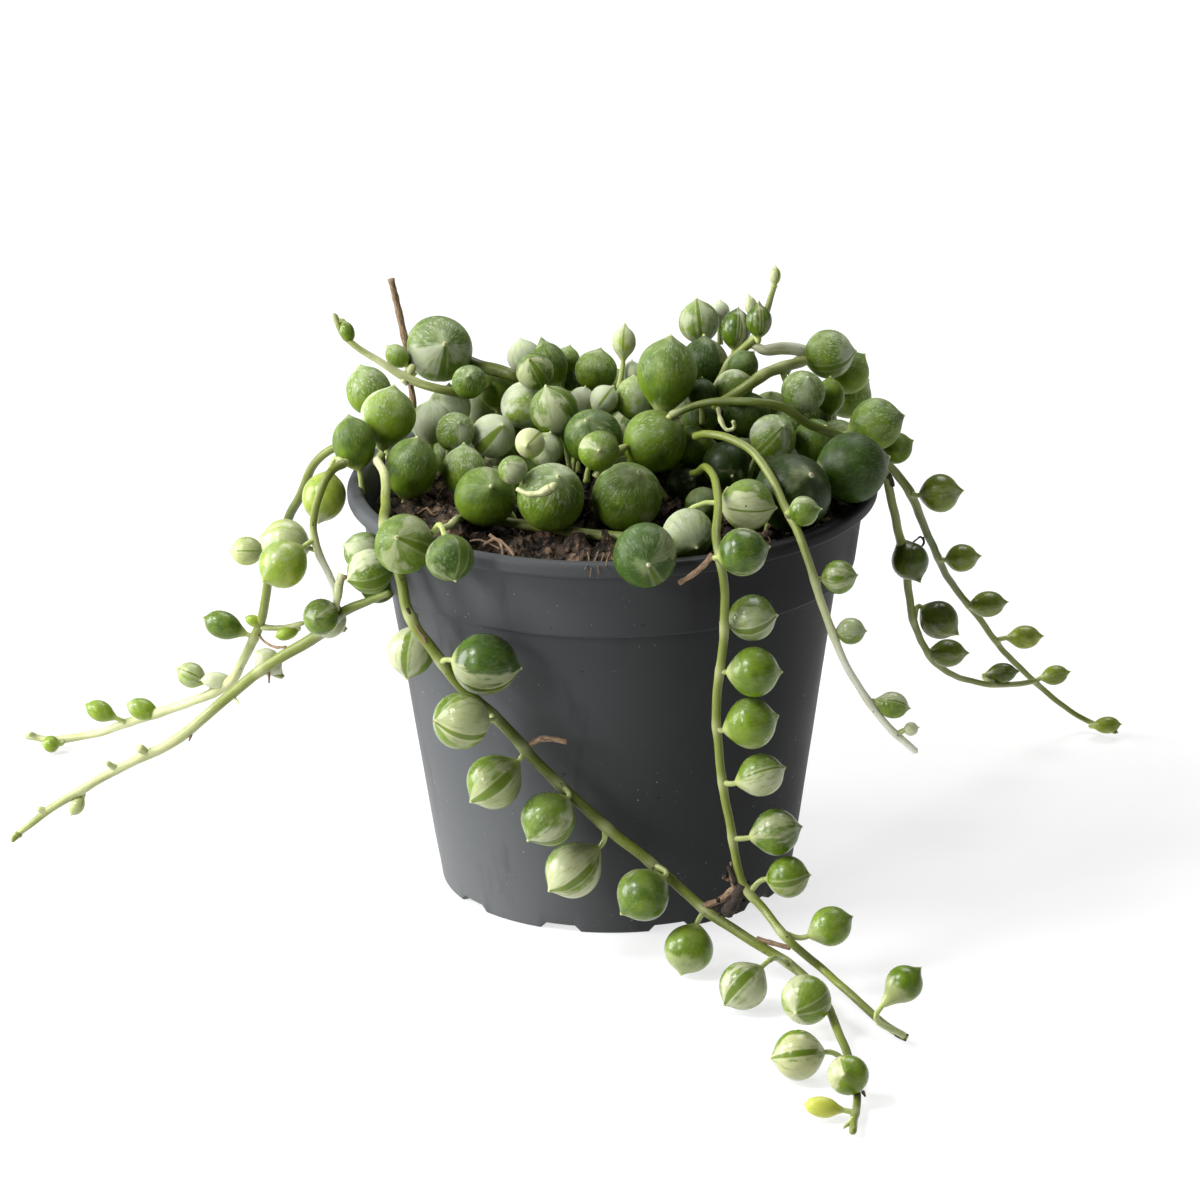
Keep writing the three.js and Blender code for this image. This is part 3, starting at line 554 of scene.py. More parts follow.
@dataclass(frozen=True)
class PearlFinish:
    """The skin of the pearls: green flesh with cream sectors, silvery streaks and a glassy window, and
    painted light: a glare on top and a brighter green underneath.

    Every pearl carries its own pattern. `body` is the place on a ball of radius one, with the point at
    z = 1 and the stalk under z = -1, and `rise` is how far its surface faces up. `window` holds the window's
    angle, half width and strength; `cream_one` and `cream_two` the angle and half width of a pale sector and
    how pale it is; `skin` the brightness of the green, the amount of silver and a number that makes the
    pearl differ; `ends` how far pale flesh reaches from the point and from the stalk, and how pale it is.

    Attributes:
        name: Name of the material.
        gloss: Roughness where there is no frost.
        shine: Strength of the plain reflection.
        coat: Strength of the wet looking coat.
        coat_roughness: Roughness of that coat.
        frost_and_glare: How strong the silvery frost is, and the painted glare that it carries on the sides
            that face up.
        flecks: How strong its short streaks are.
        wander: How far the sectors' edges wander in long waves.
        rag: How ragged they are.
        rim: How pale the window's border is.
    """

    name: str = "glossy_pearl_skin"
    gloss: float = 0.24
    shine: float = 0.3
    coat: float = 0.24
    coat_roughness: float = 0.1
    frost_and_glare: float = 0.7
    flecks: float = 0.5
    wander: float = 1.1
    rag: float = 1.1
    rim: float = 0.45
    dark: tuple = colour(47, 73, 6)
    bright: tuple = colour(116, 140, 28)
    fresh: tuple = colour(180, 184, 74)
    deep: tuple = colour(24, 40, 2)
    warm_cream: tuple = colour(178, 178, 132)
    cool_cream: tuple = colour(187, 192, 168)
    silver: tuple = colour(174, 184, 154)
    glass: tuple = colour(72, 92, 12)
    vein: tuple = colour(40, 60, 14)
    stalk: tuple = colour(162, 171, 108)
    dry: tuple = colour(120, 88, 52)
    tip: tuple = colour(206, 206, 168)
    dirt: tuple = colour(34, 26, 18)

    @staticmethod
    def sector(graph: Graph, name: str, angle: Wire, warp: Wire, soft: Wire) -> Wire:
        """How far a place lies inside a pale sector that runs from pole to pole."""
        middle, half, strength = graph.split(graph.field(name))
        reach = abs(graph.half_turn(angle - middle)) + warp - half
        return graph.step(reach / soft, 1.0, -1.0) * strength

    def make(self) -> bpy.types.Material:
        """Makes the material."""
        graph = Graph(self.name)
        body = graph.field("body")
        x, y, z = graph.split(body)
        tint, silver, seed = graph.split(graph.field("skin"))
        window_angle, window_half, window_strength = graph.split(graph.field("window"))
        from_point, from_stalk, end_strength = graph.split(graph.field("ends"))
        up = graph.split(graph.field("rise"))[0]
        angle = graph.math("ARCTAN2", y, x)
        around = graph.math("SQRT", (1.0 - z * z).at_least(0.0004))
        shift = graph.join(seed * 17.3, seed * 7.9, seed)
        own = graph.vector_math("ADD", body, shift)

        def meridian(stretch: float) -> Wire:
            """A place that changes little from pole to pole, the less so the smaller the stretch."""
            return graph.vector_math("ADD", graph.join(x / around, y / around, z * stretch), shift)

        # The pale sectors and ends, with wandering edges.
        broad = graph.noise(own, 1.7, 2.0)
        ragged = graph.noise(meridian(0.3), 5.0, 3.0, 0.65)
        fine = graph.noise(meridian(0.3), 14.0, 2.0, 0.6)
        warp = (broad - 0.5) * self.wander + (ragged - 0.5) * self.rag
        soft = silver * 0.25 + 0.14
        cream = self.sector(graph, "cream_one", angle, warp, soft)
        cream = cream.at_least(self.sector(graph, "cream_two", angle, warp, soft))
        edge = z + warp * 0.5
        pale_point = graph.step(edge - (1.0 - from_point), -0.1, 0.25)
        pale_stalk = graph.step(from_stalk - 1.0 - edge, -0.1, 0.3)
        cream = cream.at_least(pale_point.at_least(pale_stalk) * end_strength)

        # The flesh: green by its tint, from deep to fresh, with the pale parts over it. Painted light: the
        # tint rises a little on the sides that face down, for light from below and through the flesh.
        tone = tint + (broad - 0.5) * 1.1 + (fine - 0.5) * 0.5 + graph.step(up, 0.3, -0.7, 0.0, 0.12)
        green = graph.mix(tone.at_least(0.0).at_most(1.0), self.dark, self.bright)
        green = graph.mix(graph.step(tone, 1.0, 2.0), green, self.fresh)
        # Below a tint of nothing the green turns deep: a deep green of the pearl's own, and painted shade on
        # pearls given a low tint because they sit in shade.
        green = graph.mix(graph.step(tone, 0.0, -1.0), green, self.deep)
        pale = graph.mix(silver, self.warm_cream, self.cool_cream)
        pale = graph.mix(graph.step(ragged, 0.48, 0.72, 0.0, 0.5), pale, green)
        pale = graph.mix(graph.step(broad, 0.48, 0.66, 0.0, 0.35), pale, self.silver)
        skin = graph.mix(cream * 0.88, green, pale)

        # Fine dark veins, then silvery streaks and cloudy bloom; painted light: the bloom is stronger on the
        # side that faces up, and a pale glare covers that side.
        veins = graph.step(abs(graph.noise(meridian(0.08), 7.5, 1.0) - 0.5), 0.022, 0.0)
        skin = graph.mix(veins * graph.step(z, -0.2, 0.85, 0.05, 0.3), skin, self.vein)
        dashes = graph.step(graph.noise(meridian(0.6), 13.0, 2.0, 0.7), 0.49, 0.6)
        patches = graph.step(graph.noise(own, 4.0, 2.0), 0.4, 0.58, 0.35, 1.0)
        lines = dashes * graph.step(z, -0.6, 0.7, 0.4, 1.0) * patches
        cloud = graph.noise(own, 1.9, 3.0, 0.55)
        bloom = graph.step(cloud, 0.48, 0.66) * (lines * 0.65 + 0.35)
        # Painted glare: the sides that face up get more bloom, those that face down less.
        frost_and_glare = (lines * self.flecks).at_least(bloom * 0.85) * graph.step(up, -0.55, 0.85, 0.2, 1.05)
        # Painted glare: a pale film on the sides that face up, where the light falls.
        painted_top_glare = graph.step(up, 0.0, 0.95, 0.0, 0.3) * graph.step(cloud, 0.36, 0.6, 0.3, 1.0)
        frost_and_glare = (frost_and_glare.at_least(painted_top_glare) * (silver * self.frost_and_glare + 0.1)).at_most(0.92)
        skin = graph.mix(frost_and_glare, skin, self.silver)

        # The window: a glassy slit from pole to pole with a pale border.
        off = abs(graph.half_turn(angle - window_angle))
        inside = window_half * (around * 0.7 + 0.3) - off * around + (fine - 0.5) * 0.05
        body_part = graph.step(z, -0.85, -0.5) * window_strength
        skin = graph.mix(graph.step(inside, -0.13, -0.03) * body_part * self.rim, skin, pale)
        glass = graph.mix(tint * 0.6, self.glass, self.bright)
        skin = graph.mix(graph.step(inside, -0.02, 0.03) * body_part * 0.92, skin, glass)

        # The stalk, the point and specks of dirt.
        skin = graph.mix(graph.step(z, -0.84, -1.0) * 0.9, skin, self.stalk)
        skin = graph.mix(graph.step(z, 0.996, 0.9985) * 0.65, skin, self.tip)
        withered = graph.step(seed, 7.0, 7.2, 0.15, 0.8)
        skin = graph.mix(graph.step(z, 0.9985, 0.9995) * withered, skin, self.dry)
        place = graph.place()
        dusty = graph.step(graph.noise(place, 90.0, 1.0), 0.5, 0.6)
        specks = graph.step(graph.noise(place, 900.0, 2.0), 0.735, 0.76) * dusty
        skin = graph.mix(specks * 0.85, skin, self.dirt)
        pores = graph.noise(place, 5200.0, 2.0)
        return graph.finish(
            Base_Color=skin,
            Roughness=frost_and_glare * 0.25 + self.gloss,
            Normal=graph.bump(pores + fine * 1.6, 0.00006, 0.5),
            Subsurface_Weight=0.42,
            Subsurface_Radius=(0.7, 1.0, 0.2),
            Subsurface_Scale=0.0014,
            Specular_IOR_Level=self.shine,
            Coat_Weight=self.coat,
            Coat_Roughness=self.coat_roughness,
            IOR=1.4,
        )


@dataclass(frozen=True)
class StemFinish:
    """The skin of the stems. `run` holds the length along, the place round and the shade of the stem."""

    white: tuple = colour(216, 218, 200)
    pale: tuple = colour(186, 189, 142)
    green: tuple = colour(112, 122, 46)
    olive: tuple = colour(74, 86, 20)
    brown: tuple = colour(112, 74, 50)
    black: tuple = colour(38, 30, 22)

    def make(self) -> bpy.types.Material:
        """Makes the material: bleached to olive, streaked along, with pale joints and dark specks."""
        graph = Graph("living_stem")
        length, turn, shade = graph.split(graph.field("run"))
        joint, age, _ = graph.split(graph.field("wear"))
        place = graph.place()
        streak = graph.noise(graph.on_tube(length * 0.12, turn), 2.6, 3.0, 0.6)
        cloud = graph.noise(place, 160.0, 3.0)
        tone = shade + (streak - 0.5) * 0.3 + (cloud - 0.5) * 0.4
        skin = graph.mix(graph.step(tone, 0.0, 0.5), self.pale, self.green)
        skin = graph.mix(graph.step(tone, 0.5, 1.0), skin, self.olive)
        skin = graph.mix(graph.step(tone, 0.05, -0.25), skin, self.white)
        skin = graph.mix(joint * 0.35, skin, self.pale)
        patch = graph.step(graph.noise(place, 420.0, 4.0, 0.7) + age * 0.2, 0.7, 0.8)
        skin = graph.mix(patch * 0.5, skin, self.brown)
        speck = graph.step(graph.noise(place, 1500.0, 2.0) + age * 0.12, 0.72, 0.75)
        skin = graph.mix(speck * 0.85, skin, self.black)
        return graph.finish(
            Base_Color=skin,
            Roughness=graph.step(cloud, 0.3, 0.7, 0.38, 0.52),
            Normal=graph.bump(streak * 0.8 + graph.noise(place, 2600.0, 2.0), 0.00012, 0.6),
            Subsurface_Weight=0.2,
            Subsurface_Radius=(0.7, 1.0, 0.3),
            Subsurface_Scale=0.0012,
            Coat_Weight=0.08,
            Coat_Roughness=0.25,
            IOR=1.42,
        )


@dataclass(frozen=True)
class BarkFinish:
    """Dry brown root, twig and tip."""

    light: tuple = colour(166, 140, 110)
    dark: tuple = colour(86, 62, 46)

    def make(self) -> bpy.types.Material:
        """Makes the material: long fibres in two browns."""
        graph = Graph("dry_bark")
        length, turn, _ = graph.split(graph.field("run"))
        fibres = graph.noise(graph.on_tube(length * 0.25, turn), 4.0, 4.0, 0.7)
        skin = graph.mix(graph.step(fibres, 0.35, 0.65), self.dark, self.light)
        return graph.finish(Base_Color=skin, Roughness=0.85, Normal=graph.bump(fibres, 0.0003, 0.8))


@dataclass(frozen=True)
class PotFinish:
    """Slate grey moulded plastic with a little dust, and painted light: lighter towards the left, most of
    all low down.
    """

    base: tuple = colour(29, 30, 30)
    lighter: tuple = colour(34, 35, 35)
    # The colour of the painted light on the left side of the pot.
    painted_left_light: tuple = colour(78, 80, 82)
    # Colour of the pale dust dots, and of the painted light at the lower left.
    dust_and_painted_light: tuple = colour(168, 170, 168)
    grime: tuple = colour(40, 38, 36)

    def make(self) -> bpy.types.Material:
        """Makes the material: a mottled base, smears, pale dust, dark pits, painted light from the left and
        a fine moulded texture.
        """
        graph = Graph("slate_moulded_plastic")
        place = graph.place()
        across, _, up = graph.split(place)
        mottle = graph.noise(place, 45.0, 4.0, 0.6)
        skin = graph.mix(graph.step(mottle, 0.35, 0.65), self.base, self.lighter)
        # Painted light: the base turns lighter towards the left, where the light falls.
        skin = graph.mix(graph.step(across, 0.038, -0.03), skin, self.painted_left_light)
        smear = graph.noise(graph.vector_math("MULTIPLY", place, (1.0, 1.0, 0.25)), 130.0, 3.0, 0.6)
        skin = graph.mix(graph.step(smear, 0.58, 0.72, 0.0, 0.35), skin, self.grime)
        dots = graph.step(graph.noise(place, 1900.0, 1.0), 0.775, 0.80)
        dots = dots * graph.step(graph.noise(place, 60.0, 2.0), 0.42, 0.6)
        skin = graph.mix(dots * 0.75, skin, self.dust_and_painted_light)
        pits = graph.noise(graph.vector_math("ADD", place, (3.0, 1.0, 2.0)), 1100.0, 1.0)
        skin = graph.mix(graph.step(pits, 0.77, 0.79) * 0.7, skin, self.grime)
        # Painted light: a pale film over the lower left of the pot, where the light falls.
        painted_low_left_light = graph.step(up, 0.038, 0.0) * graph.step(across, 0.008, -0.022)
        skin = graph.mix(painted_low_left_light * 0.08, skin, self.dust_and_painted_light)
        return graph.finish(
            Base_Color=skin,
            Roughness=graph.step(mottle, 0.3, 0.7, 0.40, 0.50),
            Normal=graph.bump(graph.noise(place, 2600.0, 3.0, 0.6), 0.00005, 0.55),
            Specular_IOR_Level=0.06,
        )


@dataclass(frozen=True)
class SoilFinish:
    """Dark peaty mix with reddish fibres."""

    black: tuple = colour(14, 11, 9)
    brown: tuple = colour(76, 60, 44)
    rust: tuple = colour(124, 100, 76)

    def make(self) -> bpy.types.Material:
        """Makes the material: black and brown crumbs, some of them rusty."""
        graph = Graph("peat_mix")
        place = graph.place()
        crumbs = graph.noise(place, 420.0, 6.0, 0.7)
        skin = graph.mix(graph.step(crumbs, 0.42, 0.60), self.black, self.brown)
        chips = graph.step(graph.noise(place, 380.0, 4.0, 0.8), 0.55, 0.63)
        skin = graph.mix(chips * 0.85, skin, self.rust)
        height = crumbs + graph.cells(place, 900.0) * 0.8
        return graph.finish(Base_Color=skin, Roughness=0.95, Normal=graph.bump(height, 0.0012, 0.9))


@dataclass(frozen=True)
class Pearl:
    """One pearl, and how it is coloured.

    Attributes:
        at: Its reading: across, down and how far ahead of the axis; only the first two for a pearl whose
            depth is read from its solid, or whose height is given.
        size: Its width and its length without the stalk.
        tip: Where its point aims: right, up and near.
        tint: Brightness of the green: 0 dark and 1 bright, less for deep and more for fresh green.
        silver: Amount of silvery wax, about 0 to 1.5.
        window: Angle of the window in degrees, and its half width as a share of the radius or nothing.
        cream: Angle and half width in degrees of up to two pale sectors.
        strength: How pale the pale parts are.
        ends: How far pale flesh reaches from the point and from the stalk, as shares of the half length.
        taper: How much it draws out towards its stalk.
        point: How long its point is.
        foot: Where its stalk begins in the picture, if that shows.
        height: Its height above the surface, in place of the distance ahead.
        node: The solid that it stands for, if any.
        stem: The route that it grows from, if any.
    """

    at: tuple
    size: tuple
    tip: tuple
    tint: float = 0.4
    silver: float = 0.3
    window: tuple = (180.0, 0.0)
    cream: tuple = ()
    strength: float = 1.0
    ends: tuple = (0.0, 0.0)
    taper: float = 0.12
    point: float = 0.11
    foot: tuple | None = None
    height: float | None = None
    node: str = ""
    stem: str = ""

    @property
    def window_strength(self) -> float:
        """One if the pearl has a window."""
        return float(self.window[1] > 0)

    def pattern(self, draw: np.random.Generator) -> dict[str, np.ndarray]:
        """Its look as the material takes it. A sector of less than no width stands for none."""
        sectors = [*self.cream, (0.0, -60.0), (0.0, -60.0)]
        angle, half = self.window
        return {
            "window": np.array([np.radians(angle), max(half, 0.03), self.window_strength]),
            "cream_one": np.array([*np.radians(sectors[0]), self.strength]),
            "cream_two": np.array([*np.radians(sectors[1]), self.strength]),
            "skin": np.array([self.tint, self.silver, draw.uniform(0, 10)]),
            "ends": np.array([*self.ends, 0.8 * self.strength]),
        }


class PearlShape:
    """Turns a pearl's sizes into its surface.

    Along its axis a pearl is a stalk, then a ball whose ends draw out. For an angle t from the stalk's pole
    to the point's pole, the distance along is, in half lengths, -cos t - taper exp(-(t / 0.36)^2)
    + point exp(-((pi - t) / 0.22)^2) + spike exp(-((pi - t) / 0.06)^2), and the radius is sin t half widths.
    Long waves and a crease at the window make it uneven.

    Attributes:
        stalk_radius: Radius of the stalk.
        spike: Length of the fine end of the point.
        point_rows: Angles of the last rows from the point's pole.
        stalk_reach: How far the taper reaches from the stalk's pole, as an angle.
        point_reach: How far the point reaches from its pole.
        spike_reach: How far its fine end reaches.
        waves: Depth of the waves with two and with three crests round the pearl.
        ripple: Depth of the waves from pole to pole.
        crease: Depth of the crease at the window.
        crease_reach: How far the crease reaches to each side, as an angle.
    """

    stalk_radius = 0.42
    spike = 0.3
    point_rows = (0.085, 0.058, 0.035, 0.016)
    stalk_reach = 0.36
    point_reach = 0.22
    spike_reach = 0.06
    waves = (0.014, 0.008)
    ripple = 0.012
    crease = 0.022
    crease_reach = 0.13

    def __init__(self, rows: int = 26, stalk_rows: int = 8, sides: int = 36) -> None:
        """Sets how finely pearls are drawn."""
        self.rows, self.stalk_rows, self.sides = rows, stalk_rows, sides

    def grid(
        self, pearl: Pearl, centre: np.ndarray, axis: np.ndarray, foot: np.ndarray, seed: int
    ) -> tuple[np.ndarray, dict[str, np.ndarray]]:
        """Works out one pearl's surface and pattern.

        Args:
            pearl: The pearl.
            centre: Its middle.
            axis: The unit direction of its point.
            foot: Where its stalk begins.
            seed: Start of its own random draw.

        Returns:
            The grid of points and the fields for its material.
        """
        draw = np.random.default_rng(seed)
        half_width, half_length = pearl.size[0] / 2, pearl.size[1] / 2 / (1 + pearl.point * 0.5)
        facing = SIGHT.toward - axis * (SIGHT.toward @ axis)
        if np.linalg.norm(facing) < 0.3:
            facing = SIGHT.up - axis * (SIGHT.up @ axis)
        first = unit(facing)
        second = np.cross(axis, first)
        round_it = even_turns(self.sides)
        start = np.arcsin(min(0.6, self.stalk_radius * 0.95 / half_width))
        turn = np.linspace(0, 1, self.rows)
        turn = start + (np.pi - 0.13 - start) * (turn - 0.045 * np.sin(TURN * turn))
        turn = np.concatenate([turn, np.pi - np.array(self.point_rows)])
        along = -np.cos(turn) - pearl.taper * np.exp(-((turn / self.stalk_reach) ** 2))
        along += pearl.point * np.exp(-(((np.pi - turn) / self.point_reach) ** 2))
        along += self.spike / half_length * np.exp(-(((np.pi - turn) / self.spike_reach) ** 2))
        radius = np.sin(turn)[:, None] * np.ones(self.sides)
        wave = self.waves[0] * np.sin(2 * round_it + draw.uniform(0, TURN))
        wave = wave + self.waves[1] * np.sin(3 * round_it + draw.uniform(0, TURN))
        window = np.radians(pearl.window[0])
        off = np.abs((round_it - window + np.pi) % TURN - np.pi)
        crease = -self.crease * pearl.window_strength * np.exp(-((off / self.crease_reach) ** 2))
        radius *= 1 + np.sin(turn)[:, None] * wave + np.sin(turn)[:, None] ** 0.6 * crease
        radius += self.ripple * np.sin(turn * 3 + draw.uniform(0, TURN))[:, None] * np.sin(turn)[:, None]
        ring = first * np.cos(round_it)[:, None] + second * np.sin(round_it)[:, None]
        spread = ring[None] * (radius * half_width)[..., None]
        blade = centre + axis * (along * half_length)[:, None, None] + spread

        base = centre + axis * along[0] * half_length
        reach = np.linalg.norm(base - foot)
        lean = base - axis * reach * 0.45
        middle = foot + unit(base - foot) * reach * 0.3
        share = np.linspace(0, 1, self.stalk_rows + 1)[:-1, None]
        path = (
            (1 - share) ** 3 * foot
            + 3 * (1 - share) ** 2 * share * middle
            + 3 * (1 - share) * share**2 * lean
            + share**3 * base
        )
        forward = 3 * (1 - share) ** 2 * (middle - foot) + 6 * (1 - share) * share * (lean - middle)
        forward = unit(forward + 3 * share**2 * (base - lean))
        side = unit(first - forward * (forward @ first)[:, None])
        other = np.cross(forward, side)
        thick = self.stalk_radius * (1 + 0.35 * (1 - share) ** 3)
        cosine, sine = np.cos(round_it), np.sin(round_it)
        around = side[:, None] * cosine[:, None] + other[:, None] * sine[:, None]
        stalk = path[:, None] + thick[:, None] * around
        points = np.concatenate([stalk, blade])
        level = np.sin(turn)[:, None]
        ball = np.stack([level * cosine, level * sine, -np.cos(turn)[:, None] + 0 * round_it], axis=-1)
        along_stalk = share - 2.0 + 0 * round_it
        stem_part = np.stack([0.1 * cosine + 0 * share, 0.1 * sine + 0 * share, along_stalk], axis=-1)
        rise = unit(np.concatenate([stalk - path[:, None], blade - centre]))[..., 2:]
        fields = {"body": np.concatenate([stem_part, ball]), "rise": rise}
        fields.update(pearl.pattern(draw))
        return points, fields


PEARL_FIELDS = ("body", "rise", "window", "cream_one", "cream_two", "skin", "ends")
STEM_FIELDS = ("run", "wear")


# Stems: each route is a list of readings from the crown outwards.
ROUTES: dict[str, list[np.ndarray]] = {
    name: trail(*readings)
    for name, readings in {
        "front_left": [(376, 459, 3), (384, 474, 9), (386, 499, 17), (384, 518, 23.5), (386, 532, 27),
            (392, 550, 29.5), (401, 579, 31), (406, 606, 32.5), (416, 628, 34), (430, 646, 34.5),
            (445, 667, 35), (462, 688, 35.5), (500, 722, 36.5), (545, 770, 38), (600, 822, 39),
            (650, 862, 40), (700, 905, 43), (750, 940, 7, UP), (780, 958, 4.8, UP), (804, 976, 3.2, UP),
            (826, 1004, 2.5, UP), (837, 1030, 2.2, UP), (846, 1050, 1.8, UP), (853, 1075, 1.5, UP),
            (857, 1100, 1.4, UP), (852, 1133, 1.3, UP)],
        "front_right": [(698, 472, 14), (706, 467, 19), (716, 482, 26), (718, 509, 34.5), (716, 537, 42.5),
            (719, 558, 45.5), (723, 578, 46), (725, 598, 45.5), (724, 636, 45.5), (719, 675, 45.5),
            (716, 718, 45.5), (720, 764, 46), (728, 815, 47), (743, 884, 49), (763, 909, 51.5),
            (791, 943, 57), (820, 967, 5.2, UP), (840, 985, 4.4, UP), (880, 1020, 2.6, UP),
            (905, 1037, 1.5, UP)],
        "side": [(694, 437, 8), (708, 434, 13), (730, 439, 17), (753, 452, 21), (772, 480, 26),
            (787, 511, 31), (803, 545, 36), (814, 580, 37), (830, 626, 37), (844, 660, 37), (858, 685, 37),
            (888, 726, 37), (918, 753, 37)],
        "right": [(674, 413, 3), (700, 404, 4), (728, 401, 5), (753, 402, 6), (782, 407, 6), (807, 423, 5),
            (835, 434, 3), (866, 450, 0), (888, 464, -4), (903, 482, -7), (914, 501, -10), (930, 540, -18),
            (950, 580, -29), (980, 620, -39), (1012, 660, -49), (1056, 700, -58), (1086, 720, -60.5),
            (1118, 733, 1.2, UP)],
        "right_branch": [(866, 450, 0), (883, 468, -2), (889, 490, -4), (896, 520, -7), (903, 550, -11),
            (909, 592, -16), (914, 622, -20), (922, 642, -24), (936, 663, -29), (970, 681, -38),
            (1005, 685, -44), (1038, 681, -49)],
        "left_low": [(392, 592, 22), (368, 601, 18), (341, 613, 12), (318, 635, 7), (268, 665, 2),
            (230, 695, -2), (180, 737, -5), (120, 768, -8), (60, 803, -10), (12, 838, 1.3, UP)],
        "left_drop": [(346, 462, 7), (334, 469, 9), (324, 483, 10.5), (315, 510, 11), (313, 532, 11),
            (319, 553, 11), (330, 575, 11.5), (336, 595, 12), (334, 616, 11)],
        "left_high": [(344, 443, -4), (328, 451, -5), (314, 464, -7), (302, 492, -10), (287, 522, -14),
            (269, 580, -21), (260, 623, -27), (245, 657, -33), (228, 684, -38), (190, 702, -43),
            (150, 715, -48), (105, 730, 4.6, UP), (60, 740, 1.8, UP), (25, 736, 1.3, UP)],
        "left_fork": [(260, 627, -27), (275, 628, -26), (290, 626, -25), (306, 622, -24)],
        "top_shoot": [(334, 313, -23), (343, 335, -22), (355, 346, -21), (378, 361, -20), (406, 377, -19),
            (437, 388, -18), (457, 392, -19), (474, 390, -21.5), (492, 383, -23)],
        "on_soil": [(433, 535, 32), (448, 526, 22), (466, 518, 10), (485, 519, 63.4, UP),
            (502, 521, 63.3, UP), (540, 527, 63.3, UP), (579, 533, 63.3, UP), (617, 537, 63.3, UP),
            (645, 540, 63.3, UP), (668, 541, 63.3, UP)],
        "upper": [(716, 392, -16), (722, 378, -18), (732, 360, -18), (745, 347, -17), (757, 334, -17),
            (764, 318, -17.5), (770, 300, -18), (775, 283, -18)],
        "upper_side": [(752, 345, -17), (764, 350, -17), (782, 348, -18), (800, 350, -19)],
        "crossing": [(715, 406, 3.1), (730, 398, -2.2), (748, 386, -6), (766, 374, -9), (785, 367, -12),
            (806, 361, -16)],
        "old": [(445, 350, -27.4), (475, 364, -25.6), (494, 369, -23.5), (514, 376, -21)],
        "twig": [(391, 279, -26), (397, 304, -26), (404, 336, -25), (409, 372, -22), (416, 425, -17.5),
            (420, 474, 61.9, UP)],
    }.items()
}


class Shade(Enum):
    """How green a stem is, from bleached to olive."""

    WHITE = -0.3
    CREAM = -0.05
    PALE = 0.1
    LIGHT = 0.32
    GREEN = 0.5
    DEEP = 0.68
    OLIVE = 0.95


WHITE, CREAM, PALE, LIGHT, GREEN, DEEP, OLIVE = Shade


@dataclass(frozen=True)
class Stem:
    """One stem along a route.

    Attributes:
        route: Name of the route.
        thick: Radii at even steps from its start to its end.
        shade: How green it is, at even steps too.
        age: How marked and brown it is, from 0 to 1.
        before: Readings that lead it out of the heap, ahead of its route.
        after: Readings that lead it on past its route.
        joint_near: How near a stalk must begin to make a joint.
        joint_length: How far a joint reaches along the stem.
        joint_swell: How much the stem thickens there, as a share of its radius.
        unevenness: How much its thickness varies, as a share of its radius.
        sway: How far it wanders from its route.
        rounding: Length of its rounded ends.
    """

    route: str
    thick: tuple
    shade: tuple = (Shade.GREEN,)
    age: float = 0.2
    before: tuple = ()
    after: tuple = ()
    joint_near: float = 2.5
    joint_length: float = 1.3
    joint_swell: float = 0.14
    unevenness: float = 0.02
    sway: float = 0.05
    rounding: float = 0.7

    def path(self) -> np.ndarray:
        """Places along the stem."""
        return smooth_route([*trail(*self.before), *ROUTES[self.route], *trail(*self.after)])

    @staticmethod
    def at_steps(values: Sequence[float], share: np.ndarray) -> np.ndarray:
        """Values given at even steps, read at shares of the length."""
        if len(values) == 1:
            return values[0] + 0 * share
        return np.interp(share, np.linspace(0, 1, len(values)), values)

    def joint_at(self, off: np.ndarray) -> np.ndarray:
        """How strongly a joint shows, from how far it is along the stem."""
        return np.exp(-((off / self.joint_length) ** 2))

    def rounded(self, left: np.ndarray) -> np.ndarray:
        """The share of its radius that a stem has so far from one of its ends."""
        return np.sqrt(np.clip(1 - (1 - left / self.rounding).clip(0, 1) ** 2, 0.02, 1))

    def grow(self, skin: Skin, feet: np.ndarray, slot: int = 0, sides: int = 14) -> None:
        """Adds the stem to a skin: a tube that thickens at each stalk and rounds off at its end.

        Args:
            skin: What it is added to.
            feet: Places where stalks leave it, one in each row.
            slot: Its material.
            sides: Points round it.
        """
        path = self.path()
        length = run_length(path)
        share = length / length[-1]
        radius = self.at_steps(self.thick, share)
        joint = np.zeros(len(path))
        for foot in feet:
            gap = np.linalg.norm(path - foot, axis=1)
            nearest = int(np.argmin(gap))
            if gap[nearest] < self.joint_near:
                joint = np.maximum(joint, self.joint_at(length - length[nearest]))
        waves = Waves(len(path), 30.0, 6.0, 20)
        radius = radius * (1 + self.joint_swell * joint + self.unevenness * waves.at(path))
        sway = [Waves(len(path) + k, 14.0, 4.0, 16).at(path) for k in (1, 2, 3)]
        path = path + self.sway * np.stack(sway, axis=1)
        rounded = self.rounded(length[-1] - length) * self.rounded(length)
        grid = sweep(path, radius * rounded, sides)
        angle = even_turns(sides)
        shade = self.at_steps([step.value for step in self.shade], share)
        run = np.stack(np.broadcast_arrays(length[:, None], angle[None], shade[:, None]), axis=-1)
        wear = np.stack(np.broadcast_arrays(joint[:, None], self.age, 0 * angle[None]), axis=-1)
        skin.add(grid, slot=slot, run=run, wear=wear)


